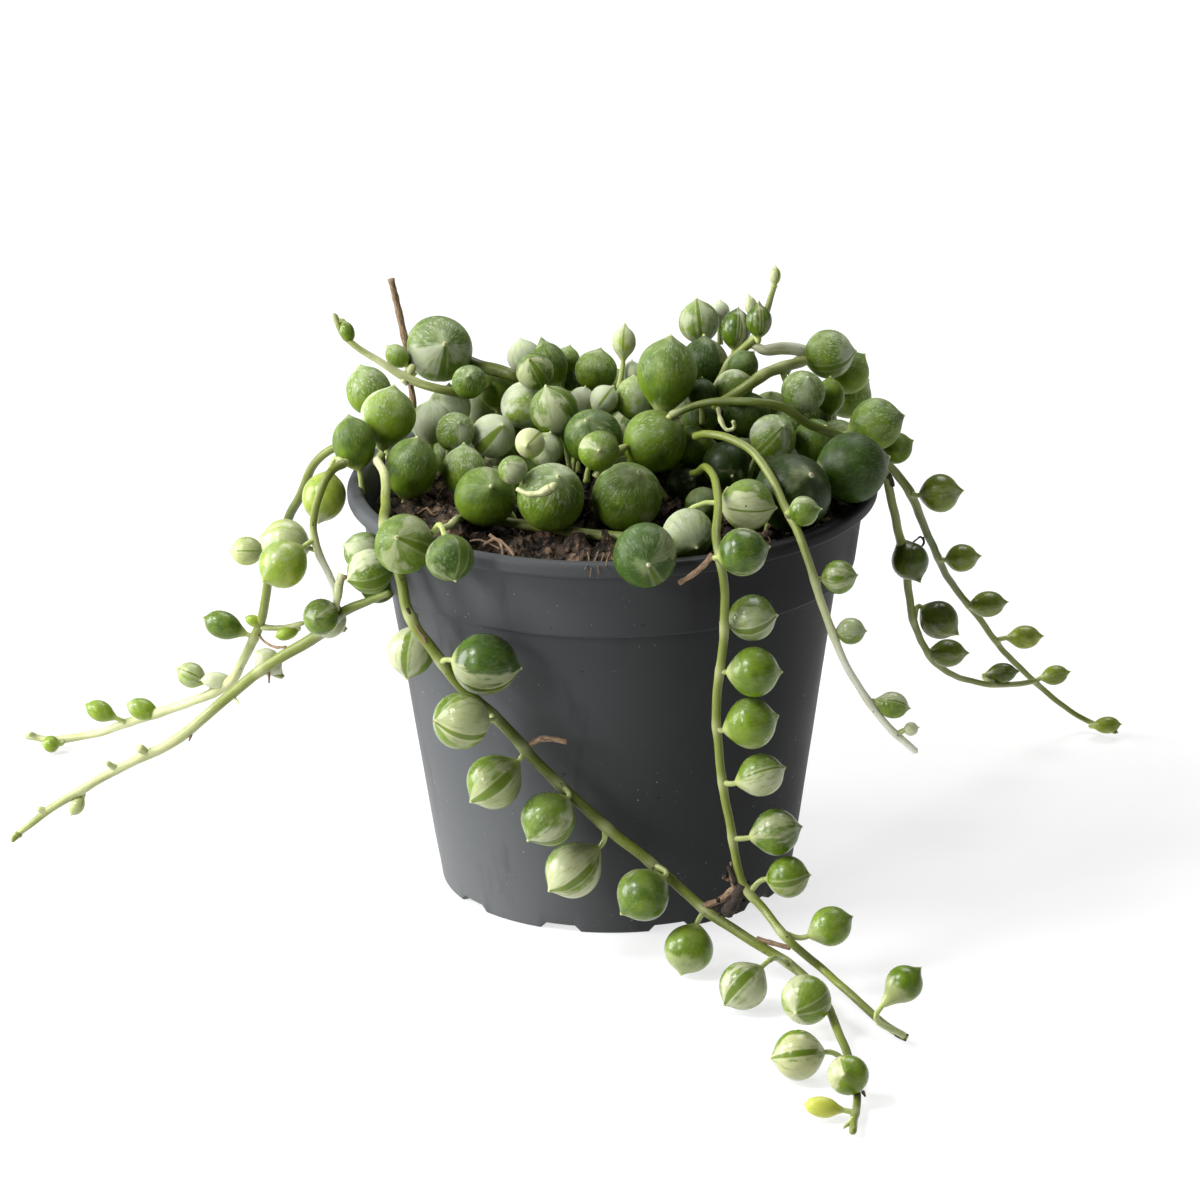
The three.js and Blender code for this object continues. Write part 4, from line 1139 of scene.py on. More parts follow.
class Heap:
    """The round things that new pearls keep clear of.

    Attributes:
        clear: The room that a new pearl keeps round it.
    """

    clear = 0.05

    def __init__(self) -> None:
        """Starts empty."""
        self.centres = np.zeros((0, 3))
        self.radii = np.zeros(0)
        self.is_pearl = np.zeros(0, dtype=bool)

    def add(self, centres: np.ndarray, radius: float, is_pearl: bool = False) -> None:
        """Adds obstacles of one radius."""
        centres = np.atleast_2d(centres)
        self.centres = np.vstack([self.centres, centres])
        self.radii = np.concatenate([self.radii, np.full(len(centres), radius)])
        self.is_pearl = np.concatenate([self.is_pearl, np.full(len(centres), is_pearl)])

    def room(self, places: np.ndarray, radius: float) -> np.ndarray:
        """How far a ball at each place stays clear of the heap; less than nothing where it cuts in."""
        gap = np.linalg.norm(places[:, None] - self.centres[None], axis=2) - self.radii[None]
        return gap.min(axis=1) - radius

    def nearest_free(self, start: np.ndarray, radius: float, reach: float = 16.0) -> np.ndarray:
        """Slides a ball along its line of sight to the nearest place with room, over the soil.

        Args:
            start: Where it starts.
            radius: Its radius.
            reach: How far it may slide.

        Returns:
            The place that it takes.
        """
        line = unit(start - SIGHT.eye)
        steps = np.arange(-reach, reach + 0.1, 0.2)
        steps = steps[np.argsort(np.abs(steps + 0.01), kind="stable")]
        places = start + steps[:, None] * line
        room = self.room(places, radius)
        over = np.hypot(places[:, 0], places[:, 1]) < 40
        room = np.where(over & (places[:, 2] - radius < SOIL_TOP - 0.4), -9.0, room)
        good = room > self.clear
        return places[int(np.argmax(good))] if good.any() else places[int(np.argmax(room))]

    def hidden(self, place: np.ndarray, radius: float) -> bool:
        """Whether nearer pearls cover a ball in the picture, tested at its middle and round its edge."""
        angle = even_turns(10)
        rim = (SIGHT.right * np.cos(angle)[:, None] + SIGHT.up * np.sin(angle)[:, None]) * radius * 0.97
        spots, depth = SIGHT.in_picture(np.vstack([place, place + rim]))
        balls, ball_depth = SIGHT.in_picture(self.centres[self.is_pearl])
        sizes = self.radii[self.is_pearl] * SIGHT.focal / ball_depth
        near = ball_depth < depth[0]
        inside = np.linalg.norm(spots[:, None] - balls[None], axis=2) < sizes[None] * 0.97
        return bool((inside & near[None]).any(axis=1).all())


def solid_points(node: str) -> np.ndarray:
    """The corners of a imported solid, each once, in millimetres."""
    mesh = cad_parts[node].data
    flat = np.zeros(len(mesh.vertices) * 3, np.float32)
    mesh.vertices.foreach_get("co", flat)
    return np.unique(np.round(flat.reshape(-1, 3) / METRE, 2), axis=0)


def blade_centre(pearl: Pearl) -> np.ndarray:
    """Finds how deep a pearl lies from the solid that it stands for.

    The place is on the pearl's line of sight, level with the middle of the solid's corners that belong to
    its blade: those nearer than six tenths of its length, found again as the place improves.

    Args:
        pearl: A pearl with a node.

    Returns:
        The middle of its blade.
    """
    line = SIGHT.line(pearl.at[0], pearl.at[1])
    corners = solid_points(pearl.node)
    depth = float(np.mean((corners - SIGHT.eye) @ line))
    for _ in range(6):
        place = SIGHT.eye + line * depth
        near = np.linalg.norm(corners - place, axis=1) < max(pearl.size) * 0.6
        depth = float(np.mean((corners[near] - SIGHT.eye) @ line))
    return SIGHT.eye + line * depth


@dataclass
class Pot:
    """The nursery pot: one moulded shell with a rolled lip, a collar, a tapered body and a notched foot."""

    height: float = 67.0
    lip_radius: float = 42.5
    lip_inner: float = 40.0
    lip_height: float = 2.5
    collar_top: float = 40.4
    collar_low: float = 38.9
    collar_bottom: float = 53.8
    shoulder: float = 0.6
    body_top: float = 36.4
    foot_radius: float = 28.6
    wall: float = 0.85
    floor: float = 2.0
    pad_radius: float = 11.0
    foot_width: float = 4.0
    foot_rise: float = 1.0
    draft: float = 0.5
    notches: int = 10
    notch_half: float = 6.0
    first_notch: float = -73.0
    drains: int = 8
    drain_radius: float = 2.5
    drain_ring: float = 17.5
    sides: int = 360

    def profile(self) -> list[tuple[float, float, float]]:
        """The section's corners from the middle of the underside to the middle of the floor.

        Returns:
            For each corner its radius, its height, and how far its rounding reaches.
        """
        inside = self.foot_radius - self.foot_width
        lip_bottom = self.height - self.lip_height
        return [
            (0.0, 0.0, 0.0), (self.pad_radius, 0.0, 0.3),
            (self.pad_radius + self.draft, self.foot_rise, 0.3),
            (inside - self.draft, self.foot_rise, 0.3), (inside, 0.0, 0.2),
            (self.foot_radius - 0.2, 0.0, 0.5), (self.body_top, self.collar_bottom - self.shoulder, 0.4),
            (self.collar_low, self.collar_bottom, 0.45), (self.collar_top, lip_bottom, 0.5),
            (self.lip_radius, lip_bottom + 0.2, 0.6), (self.lip_radius, self.height, 1.0),
            (self.lip_inner, self.height, 0.9),
            (self.collar_low - self.wall, self.collar_bottom + self.wall, 1.5),
            (self.body_top - self.wall, self.collar_bottom - self.shoulder + self.wall, 1.0),
            (self.foot_radius - self.wall, self.floor, 0.8), (0.0, self.floor, 0.0),
        ]

    def section(self) -> np.ndarray:
        """The section with its corners rounded and its long sides cut into short stretches.

        A corner becomes the curve (1-t)^2 before + 2t(1-t) corner + t^2 after, where before and after lie on
        its two sides at the reach of its rounding.
        """
        corners = np.array(self.profile())
        spots = corners[:, :2]
        rows = [spots[:1]]
        share = np.linspace(0, 1, 6)[:, None]
        for i in range(1, len(spots) - 1):
            reach = corners[i, 2]
            before = spots[i] + unit(spots[i - 1] - spots[i]) * reach
            after = spots[i] + unit(spots[i + 1] - spots[i]) * reach
            gap = before - rows[-1][-1]
            count = max(1, int(np.linalg.norm(gap) / 2.5))
            rows.append(rows[-1][-1] + gap * (np.arange(1, count)[:, None] / count))
            rows.append((1 - share) ** 2 * before + 2 * share * (1 - share) * spots[i] + share**2 * after)
        gap = spots[-1] - rows[-1][-1]
        rows.append(rows[-1][-1] + gap * (np.arange(1, 9)[:, None] / 9))
        return np.vstack(rows)[1:]

    def shell(self) -> np.ndarray:
        """The turned surface: (radius cos a, radius sin a, height), with the notches lifted out of the foot.

        Within a notch the height rises by foot_rise, and that fades out 4 mm up the wall.
        """
        section = self.section()
        angle = even_turns(self.sides)
        radius, height = section[:, :1], section[:, 1:] + 0 * angle
        step = 360.0 / self.notches
        off = np.abs((np.degrees(angle) - self.first_notch + step / 2) % step - step / 2)
        cut = np.clip((self.notch_half + 0.5 - off) / 1.0, 0, 1)
        on_foot = section[:, 0] > self.foot_radius - self.foot_width - 0.4
        on_foot &= np.arange(len(section)) < len(section) // 2
        fade = np.clip(1 - section[:, 1] / 4.0, 0, 1) ** 2 * on_foot
        height = height + self.foot_rise * np.outer(fade, cut)
        uneven = Waves(5, 60.0, 14.0, 24)
        turned = np.stack([radius * np.cos(angle), radius * np.sin(angle), height], axis=-1)
        shift = uneven.at(turned.reshape(-1, 3)).reshape(height.shape) * 0.05
        shift *= np.clip((height - 3) / 5, 0, 1)
        turned[..., 0] += shift * np.cos(angle)
        turned[..., 1] += shift * np.sin(angle)
        return turned

    def make(self) -> bpy.types.Object:
        """Makes the shell, and cuts the drain holes out of its floor."""
        skin = Skin()
        skin.add(self.shell())
        finish = PotFinish().make()
        whole = skin.make("moulded_pot_uncut", [finish])
        drill = Skin()
        middle = circle(self.drains) * self.drain_ring
        ring = circle(32) * self.drain_radius
        heights = np.array([-2.0, 2 * self.floor])[:, None, None] * np.array([0.0, 0.0, 1.0])
        drill.add(middle[:, None, None] + ring[None, None] + heights[None])
        cutter = drill.make("drill", [finish])
        cut = whole.modifiers.new("drains", "BOOLEAN")
        cut.operation = "DIFFERENCE"
        cut.object = cutter
        cut.solver = "EXACT"
        bpy.context.view_layer.update()
        ready = whole.evaluated_get(bpy.context.evaluated_depsgraph_get())
        mesh = bpy.data.meshes.new_from_object(ready)
        mesh.name = "moulded_pot"
        pot = placed("moulded_pot", mesh)
        for spare in (whole, cutter):
            bpy.data.objects.remove(spare)
        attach(pot, "root")
        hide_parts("pot")
        return pot


@dataclass
class Soil:
    """The peat that fills the pot, with loose crumbs and fibres on top.

    Attributes:
        edge: Radius of its top.
        dome: How much higher the middle of the top is than its edge.
        bottom: Height of its underside.
        foot: Radius of its underside.
        crumbs: How many crumbs lie on it.
        crumb_sizes: Their smallest and largest radius.
        fibres: How many fibres lie on it.
        fibre_reach: How far out their middles lie.
        fibre_lengths: Their shortest and longest length.
        fibre_radii: Their thinnest and thickest radius.
        bank: Height of the bank on the left.
        bank_at: Where its middle is.
        bank_reach: How far it reaches across and along.
        relief: The unevenness of the top.
        relief_height: How high that unevenness is.
    """

    edge: float = 38.4
    dome: float = 0.8
    bottom: float = 2.35
    foot: float = 27.4
    crumbs: int = 760
    crumb_sizes: tuple = (0.25, 1.9)
    fibres: int = 70
    fibre_reach: float = 37.0
    fibre_lengths: tuple = (2.0, 7.0)
    fibre_radii: tuple = (0.08, 0.24)
    bank: float = 2.4
    bank_at: tuple = (-33.0, -4.0)
    bank_reach: tuple = (11.0, 19.0)
    relief: Waves = field(default_factory=lambda: Waves(11, 16.0, 1.6, 90))
    relief_height: float = 1.35

    def level(self, places: np.ndarray) -> np.ndarray:
        """The height of the top: SOIL_TOP - 0.5 - dome (r / edge)^2 + relief + a bank.

        There is less relief at the edge, and the bank is bank exp(-(x / reach)^2 - (y / reach)^2) from its
        middle.
        """
        flat = places * np.array([1.0, 1.0, 0.0])
        out = np.linalg.norm(flat, axis=-1) / self.edge
        relief = self.relief.at(flat.reshape(-1, 3)).reshape(out.shape)
        off = (flat[..., :2] - np.array(self.bank_at)) / np.array(self.bank_reach)
        bank = self.bank * np.exp(-np.sum(off**2, axis=-1))
        fade = np.clip(6 * (1.0 - out), 0, 1)
        return SOIL_TOP - self.dome * out**2 + self.relief_height * relief * fade - 0.5 + bank

    def plug(self) -> np.ndarray:
        """The plug: a cone up to the top's edge, then rings of the top that follow its height."""
        ring = circle(180)
        up = np.array([0.0, 0.0, 1.0])
        floor = [(radius, self.bottom) for radius in (4.0, 15.0, self.foot)]
        sides = [*floor, (35.2, 54.2), (37.7, 54.9), (38.35, 60.6)]
        wall = np.array([ring * radius + up * height for radius, height in sides])
        radii = np.linspace(38.3, 1.2, 78)
        top = ring[None] * radii[:, None, None]
        top = top + up * self.level(top)[..., None]
        return np.concatenate([wall, top])

    def crumb_grids(self, centres: np.ndarray, sizes: np.ndarray, seed: int) -> np.ndarray:
        """Rough lumps: each is a ball of three rings of six points, stretched, turned and made uneven."""
        draw = np.random.default_rng(seed)
        count = len(centres)
        turn = np.radians([-52.0, 0.0, 52.0])
        angle = even_turns(6)
        level, height = np.cos(turn)[:, None], np.sin(turn)[:, None] + 0 * angle
        ball = np.stack([level * np.cos(angle), level * np.sin(angle), height], axis=-1)
        uneven = 1 + draw.uniform(-0.32, 0.32, (count, 3, 6, 1))
        stretch = draw.uniform(0.55, 1.3, (count, 1, 1, 3))
        spin = np.linalg.qr(draw.normal(size=(count, 3, 3)))[0]
        spin[:, :, 0] *= np.sign(np.linalg.det(spin))[:, None]
        lumps = np.einsum("kij,kabj->kabi", spin, ball[None] * uneven * stretch)
        return centres[:, None, None] + lumps * sizes[:, None, None, None]

    def make(self) -> list[bpy.types.Object]:
        """Makes the plug, the crumbs and the fibres."""
        finish = SoilFinish().make()
        draw = np.random.default_rng(21)
        body = Skin()
        body.add(self.plug())
        soil = body.make("peat_plug", [finish])
        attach(soil, "root")
        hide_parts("soil")

        out = self.edge * np.sqrt(draw.uniform(0, 0.94, self.crumbs))
        around = draw.uniform(0, TURN, self.crumbs)
        places = np.stack([out * np.cos(around), out * np.sin(around), 0 * out], axis=1)
        sizes = draw.gamma(3.0, 0.2, self.crumbs).clip(*self.crumb_sizes)
        places[:, 2] = self.level(places) + 0.15 * sizes
        loose = Skin()
        loose.add(self.crumb_grids(places, sizes, 22))
        chunk = np.array(trail((450, 503, 20), (444, 497, 18), (455, 508, 21), (447, 510, 22)))
        chunk[:, 2] = self.level(chunk) + np.array([1.6, 1.5, 1.2, 0.9])
        loose.add(self.crumb_grids(chunk, np.array([2.0, 1.5, 1.4, 1.4]), 23), slot=1)
        bark = BarkFinish(colour(150, 132, 104), colour(84, 66, 48)).make()
        crumbs = loose.make("peat_crumbs", [finish, bark], smooth=False)
        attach(crumbs, "root")
        return [soil, crumbs, self.make_fibres()]

    def make_fibres(self) -> bpy.types.Object:
        """Thin roots and fibres that lie over the peat: short bent tubes that stay near its surface."""
        draw = np.random.default_rng(31)
        skin = Skin("run")
        for _ in range(self.fibres):
            out = self.fibre_reach * np.sqrt(draw.uniform(0.0, 0.95))
            around = draw.uniform(0, TURN)
            middle = np.array([out * np.cos(around), out * np.sin(around), 0.0])
            heading = draw.uniform(0, TURN)
            reach = draw.uniform(*self.fibre_lengths)
            step = np.array([np.cos(heading), np.sin(heading), 0.0]) * reach
            places = middle + np.linspace(-0.5, 0.5, 5)[:, None] * step + draw.normal(0, 0.5, (5, 3))
            far = np.linalg.norm(places[:, :2], axis=1)
            places[:, :2] *= np.minimum(1, 38.0 / np.maximum(far, 1e-6))[:, None]
            places[:, 2] = self.level(places) + draw.uniform(-0.2, 0.9, 5)
            path = smooth_route(places, 0.6)
            radius = draw.uniform(*self.fibre_radii) * np.linspace(1, 0.5, len(path))
            skin.add(sweep(path, radius, 6), run=run_field(path, 6, 0.5))
        fibres = skin.make("peat_fibres", [BarkFinish(colour(176, 146, 108), colour(96, 62, 40)).make()])
        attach(fibres, "root")
        return fibres


def run_field(path: np.ndarray, sides: int, shade: float) -> np.ndarray:
    """The length along, place round and shade of each point of a tube."""
    angle = even_turns(sides)
    return np.stack(np.broadcast_arrays(run_length(path)[:, None], angle[None], shade), axis=-1)


def nearest_on(route: str, place: np.ndarray) -> np.ndarray:
    """The point of a route that lies nearest to a place."""
    path = smooth_route(ROUTES[route])
    return path[int(np.argmin(np.linalg.norm(path - place, axis=1)))]


def family(name: str, stem: str, leaves: Sequence[Pearl], skipped: int = 0) -> list[Pearl]:
    """Gives leaves the names of their solids, numbered in order.

    Args:
        name: What the names start with.
        stem: The route that they grow from, where a leaf names none.
        leaves: The leaves.
        skipped: A number that no leaf has.

    Returns:
        The leaves with their solids and routes.
    """
    numbers = [number for number in range(1, len(leaves) + 2) if number != skipped]
    return [
        replace(leaf, node=f"{name}_{number:02d}", stem=leaf.stem or stem)
        for number, leaf in zip(numbers, leaves)
    ]


# The leaves that have a solid: first the trailing strands', then the crown's.
LEAVES = [
    *family("leaf_front_left", "front_left", leaves=[
        Pearl((411, 652), (7.4, 8.0), (-0.15, -1, 0.1), 0.7, 0.5, (15, 0.15), ((58, 50), (-20, 30))),
        Pearl((485, 664), (9.8, 10.6), (1, -0.12, 0), 0.05, 0.25, (58, 0.09), ((34, 12), (88, 14)),
              strength=0.6, taper=0.05),
        Pearl((461, 721), (9.0, 9.1), (-0.8, 0, 0.5), 0.5, 0.3, (-35, 0.12), ((-5, 55),), strength=0.65),
        Pearl((494, 782), (8.6, 9.0), (-0.7, -0.6, 0.1), 0.6, 0.3, (-12, 0.2), ((20, 20), (-52, 30)),
              strength=0.7, taper=0.2, foot=(521, 749)),
        Pearl((548, 819), (8.6, 8.8), (-0.65, -0.7, 0.2), 0.4, 0.5, (-62, 0.18), ((-28, 14),),
              strength=0.85, foot=(562, 783)),
        Pearl((573, 870), (8.8, 9.4), (-0.75, -0.65, 0.1), 0.6, 0.3, (-22, 0.15), ((-70, 28), (22, 42)),
              taper=0.22, foot=(600, 826)),
        Pearl((643, 895), (8.3, 8.5), (-0.75, -0.65, 0.1), 0.4, 0.4, cream=((95, 18),), strength=0.6,
              foot=(652, 863)),
        Pearl((689, 949), (7.7, 7.9), (-0.3, -0.95, 0.1), 0.65, 0.3, strength=0.6, ends=(0.7, 0.0),
              foot=(707, 908)),
        Pearl((743, 986), (7.5, 7.8), (-0.7, -0.7, 0.15), 0.45, 0.5, (15, 0.2), ((-35, 35), (50, 12)),
              taper=0.15, foot=(768, 956)),
        Pearl((806, 1000), (7.8, 7.8), (-0.4, -0.45, 0.8), 0.75, 0.5, (-35, 0.2), ((80, 35), (-170, 38)),
              strength=0.85),
        Pearl((798, 1055), (7.7, 7.8), (-1, -0.1, 0.15), 0.55, 0.05, (8, 0.13), ((-42, 45), (36, 25)),
              foot=(831, 1045)),
    ]),
    *family("leaf_front_right", "front_right", leaves=[
        Pearl((743, 552), (7.5, 7.7), (1, 0.2, 0.1), 0.1, 0.3, cream=((84, 16), (-85, 14)), strength=0.5),
        Pearl((752, 618), (7.3, 7.6), (0.95, 0.1, 0.3), 0.4, 0.6, (34, 0.15), ((-4, 24), (66, 18)),
              strength=0.55),
        Pearl((754, 672), (7.7, 8.0), (1, 0, 0), 0.45, 0.2, strength=0.4, ends=(0.0, 0.35), taper=0.14),
        Pearl((751, 723), (7.9, 8.1), (0.95, 0.25, 0), 0.6, 0.4, cream=((84, 20),), strength=0.5,
              taper=0.18, foot=(715, 727)),
        Pearl((761, 775), (6.8, 7.3), (0.95, 0.3, 0), 0.55, 0.5, (-12, 0.06), ((38, 46),), strength=0.85,
              taper=0.22),
        Pearl((776, 832), (7.2, 7.6), (0.95, 0.2, 0), 0.3, 0.3, cream=((-34, 18), (4, 10)), strength=0.6,
              taper=0.2),
        Pearl((788, 877), (6.5, 6.7), (0.95, 0.1, 0.3), 0.5, 0.15, (18, 0.14), ((44, 15),), strength=0.8),
        Pearl((831, 926), (6.2, 6.7), (0.9, 0.4, 0), 0.7, 0.35, strength=0.55, ends=(0.0, 0.5),
              taper=0.26, foot=(787, 933)),
        Pearl((904, 984), (5.6, 6.4), (0.7, 0.7, 0), 0.4, 0.0, strength=0.6, ends=(0.0, 0.8), taper=0.7,
              point=0.2, foot=(886, 1020)),
    ]),
    *family("leaf_left", "left_drop", leaves=[
        Pearl((324, 497), (7.0, 8.2), (-0.2, -0.95, 0.2), 1.3, 0.7, ends=(0.25, 0.0)),
        Pearl((285, 543), (7.6, 8.0), (-0.9, 0.2, 0.3), 1.4, 0.9, cream=((-20, 60), (60, 14)),
              strength=0.7),
        Pearl((283, 564), (7.6, 8.2), (-0.7, -0.6, 0.3), 1.15, 0.8, cream=((30, 12),), strength=0.5),
    ]),
    *family("leaf_crown", "", skipped=6, leaves=[
        Pearl((354, 443), (6.9, 8.6), (-0.2, 1, 0), 0.3, 0.3),
        Pearl((388, 416), (8.8, 9.4), (0.2, 1, 0.1), 0.75, 0.65, cream=((-78, 14),), taper=0.3,
              foot=(379, 462)),
        Pearl((439, 349), (11.0, 11.2), (0.2, 0.1, 1), 0.35, 0.9, (178, 0.12), ((128, 32), (-122, 20)),
              strength=0.85, foot=(404, 384)),
        Pearl((411, 468), (8.4, 10.4), (0.2, 0.9, 0.4), 0.3, 0.4),
        Pearl((485, 497), (9.6, 9.8), (0.2, 0.3, 0.9), 0.35, 0.22, cream=((-150, 12),), strength=0.4),
        Pearl((404, 544), (9.4, 9.6), (-0.2, 0.2, 1), 0.35, 0.35, (-108, 0.16), ((-48, 22), (160, 20)),
              strength=0.5),
        Pearl((370, 571), (7.2, 7.6), (-0.9, -0.4, 0.3), 0.35, 0.6, (-40, 0.25), ((45, 30),),
              stem="front_left"),
        Pearl((450, 558), (7.4, 7.6), (0.2, -0.8, 0.4), 0.05, 0.4, (-42, 0.2), ((75, 16),), strength=0.4),
        Pearl((551, 497), (10.8, 11.4), (0.2, 0.5, 0.8), 0.4, 1.0, cream=((175, 20),)),
        Pearl((554, 411), (7.8, 8.6), (-0.3, 0.9, 0.4), 0.35, 0.5, (60, 0.2), ((-10, 34),), strength=0.8),
        Pearl((593, 437), (9.2, 9.6), (-0.2, 0.5, 0.8), 0.1, 0.35, cream=((40, 8),), strength=0.7),
        Pearl((627, 497), (11.2, 11.6), (0.3, 0.6, 0.7), 0.35, 0.6, cream=((60, 8),), strength=0.6),
        Pearl((667, 373), (9.8, 11.4), (0.1, 1, 0.1), 0.4, 0.45, taper=0.3, foot=(674, 413)),
        Pearl((704, 366), (8.0, 9.6), (0, 1, 0.2), -0.5, 0.15, cream=((70, 14),), strength=0.6),
        Pearl((655, 441), (10.0, 10.8), (0.75, 0.5, 0.4), 0.5, 0.55, stem="right"),
        Pearl((645, 555), (10.0, 10.2), (0.1, -0.3, 1), -0.1, 0.3, (-172, 0.12), ((-78, 26),),
              strength=0.35),
        Pearl((688, 534), (8.0, 8.2), (0.3, -0.5, 0.8), 0.3, 0.8, cream=((0, 70),), strength=0.6),
        Pearl((748, 505), (8.1, 8.4), (1, -0.1, 0.2), 0.4, 0.35, (16, 0.05), ((20, 52),), strength=0.8),
        # The two big pearls at the right of the crown have low tints: partly their own deep green, partly
        # painted shade for the shaded right side of the heap.
        Pearl((793, 493), (12.3, 12.6), (0.4, 0.4, 0.8), -0.85, 0.04, strength=0.4),
        Pearl((852, 468), (11.2, 11.8), (1, 0.3, -0.2), -0.5, 0.14),
        Pearl((876, 424), (8.2, 8.8), (1, 0.3, 0.1), 0.4, 0.8),
        Pearl((829, 354), (8.0, 8.2), (1, 0.1, 0.1), 0.5, 1.35, (40, 0.12), ends=(0.5, 0.0)),
        Pearl((803, 392), (7.0, 7.2), (0.2, 0.6, 0.8), 0.4, 1.0, cream=((20, 30),), strength=0.5,
              stem="crossing"),
    ]),
]

# Small leaves that are one piece with their stem, by the stem that they grow from.
BUDS = {
    "front_left": [
        Pearl((848, 1075), (6.1, 6.2), (-0.2, 0.1, 0.97), 0.7, 0.2, cream=((80, 62),), height=4.8),
        Pearl((822, 1107), (3.2, 5.2), (-1, 0.15, 0), 2.0, 0.0, taper=0.5, point=0.05, foot=(851, 1111),
              height=2.2),
    ],
    "side": [
        Pearl((804, 511, 34), (4.7, 5.0), (0.9, 0.1, 0.3), 0.45, 0.45, cream=((-60, 30),), strength=0.5,
              point=0.22),
        Pearl((839, 577, 37), (5.3, 5.4), (0.95, 0.1, 0.2), 0.45, 0.45, cream=((-22, 12), (30, 14)),
              strength=0.7),
        Pearl((851, 631, 37), (4.3, 4.5), (0.95, 0, 0.2), 0.5, 0.7, cream=((-30, 60),), strength=0.6),
        Pearl((893, 705, 37), (4.2, 5.0), (0.97, -0.2, 0), 0.6, 0.6, (-20, 0.06), ((-50, 30),),
              strength=0.9, taper=0.35),
        Pearl((911, 729, 37), (2.2, 2.3), (0.9, 0.2, 0), 2.0, 1.2, cream=((0, 180),)),
    ],
    "right": [
        Pearl((940, 493, -7), (6.3, 6.8), (0.95, 0.1, 0.1), 0.6, 0.25, cream=((-5, 9),), strength=0.4,
              point=0.2),
        Pearl((962, 558, -22), (4.7, 5.6), (0.9, 0.1, 0), 0.85, 0.2, cream=((10, 8),), strength=0.35,
              point=0.2),
        Pearl((988, 604, -35), (4.5, 6.0), (0.95, 0.1, 0), 0.6, 0.2, cream=((35, 16),), strength=0.35,
              taper=0.3, point=0.2),
        Pearl((1025, 637, -44), (4.0, 5.6), (0.95, 0.05, 0), 1.25, 0.4, taper=0.35, point=0.2),
        Pearl((1055, 675, -55), (3.4, 4.8), (0.9, 0.2, 0), 1.0, 0.2, cream=((0, 10),), strength=0.4,
              taper=0.3, point=0.2),
        Pearl((1107, 725), (3.0, 4.6), (0.9, 0.05, 0), 1.1, 0.2, taper=0.3, height=2.4),
    ],
    "right_branch": [
        Pearl((910, 561, -9.8), (6.1, 6.9), (0.42, -0.9, 0.15), 0.1, 0.1, taper=0.3, point=0.2),
        Pearl((939, 620, -21), (6.2, 7.2), (0.8, -0.6, 0.1), 0.2, 0.15, cream=((45, 10),), strength=0.4,
              point=0.2),
        Pearl((948, 653, -27), (4.7, 6.2), (0.95, 0, 0), 0.45, 0.2, cream=((15, 12),), strength=0.35,
              taper=0.3, point=0.2),
        Pearl((1002, 673, -44), (3.5, 5.3), (0.9, 0.1, 0), 0.2, 0.2, cream=((-20, 10),), strength=0.35,
              taper=0.3, point=0.2),
    ],
    "left_low": [
        Pearl((321, 617, 14), (5.8, 6.0), (-0.3, -0.1, 0.94), 0.5, 0.5, cream=((20, 8),)),
        Pearl((328, 620, 7), (6.0, 6.2), (-0.4, 0.2, 0.3), 1.2, 0.5, cream=((0, 180),)),
        Pearl((268, 662, 0), (4.2, 5.4), (-0.5, 0.5, 0.4), 1.3, 0.5, cream=((0, 150),), strength=1.1,
              taper=0.4),
        Pearl((77, 806, -9), (2.4, 3.4), (-0.5, -0.8, 0), 1.0, 0.1, cream=((0, 90),), strength=0.7,
              taper=0.4),
    ],
    "left_high": [
        Pearl((247, 551, -17), (4.7, 5.4), (-0.95, 0, 0.1), 1.4, 0.6, (0, 0.06), ((0, 60),),
              strength=0.6),
        Pearl((223, 625, -30), (4.7, 6.6), (-0.9, 0.35, 0), 0.35, 0.35, taper=0.45),
        Pearl((191, 675, -41), (4.3, 5.0), (-0.9, 0.4, 0), 0.9, 0.5, (10, 0.08), ((30, 40), (-40, 20)),
              strength=0.6, taper=0.3),
        Pearl((216, 680, -39), (2.8, 5.0), (-0.95, 0, 0), 1.6, 0.9, cream=((0, 170),), taper=0.5),
        Pearl((142, 709, -48), (3.7, 5.4), (-0.9, 0.3, 0), 1.05, 0.5, strength=0.6, ends=(0.45, 0.0),
              taper=0.3),
        Pearl((100, 711, -51), (3.5, 5.2), (-0.9, 0.4, 0), 1.05, 0.6, strength=0.6, taper=0.4),
        Pearl((51, 744), (2.9, 3.0), (-0.9, 0, 0.2), 1.0, 0.3, height=1.8),
    ],
    "left_fork": [
        Pearl((254, 621, -27), (2.0, 3.0), (-0.9, 0.4, 0), 1.1, 0.2),
        Pearl((287, 633, -25), (2.4, 4.0), (-0.9, -0.3, 0), 1.1, 0.2),
    ],
    "top_shoot": [
        Pearl((347, 332, -22), (2.5, 3.6), (0.3, -0.9, 0), 0.5, 0.2),
    ],
    "upper": [
        Pearl((751, 306, -18), (2.1, 3.4), (-0.2, 0.95, 0), 0.7, 0.3, cream=((0, 90),), point=0.25),
        Pearl((759, 321, -14.5), (4.2, 5.6), (0, 1, 0.1), 0.15, 0.1, (10, 0.08), ((-15, 8), (38, 10)),
              strength=0.4, point=0.25),
        Pearl((775, 276, -18), (1.9, 3.2), (0.05, 1, 0), 1.2, 0.3, cream=((-40, 60),), point=0.25),
        Pearl((736, 329, -24), (5.0, 6.6), (0.1, 1, 0), 0.1, 0.2, (10, 0.06), ((30, 10),)),
    ],
}

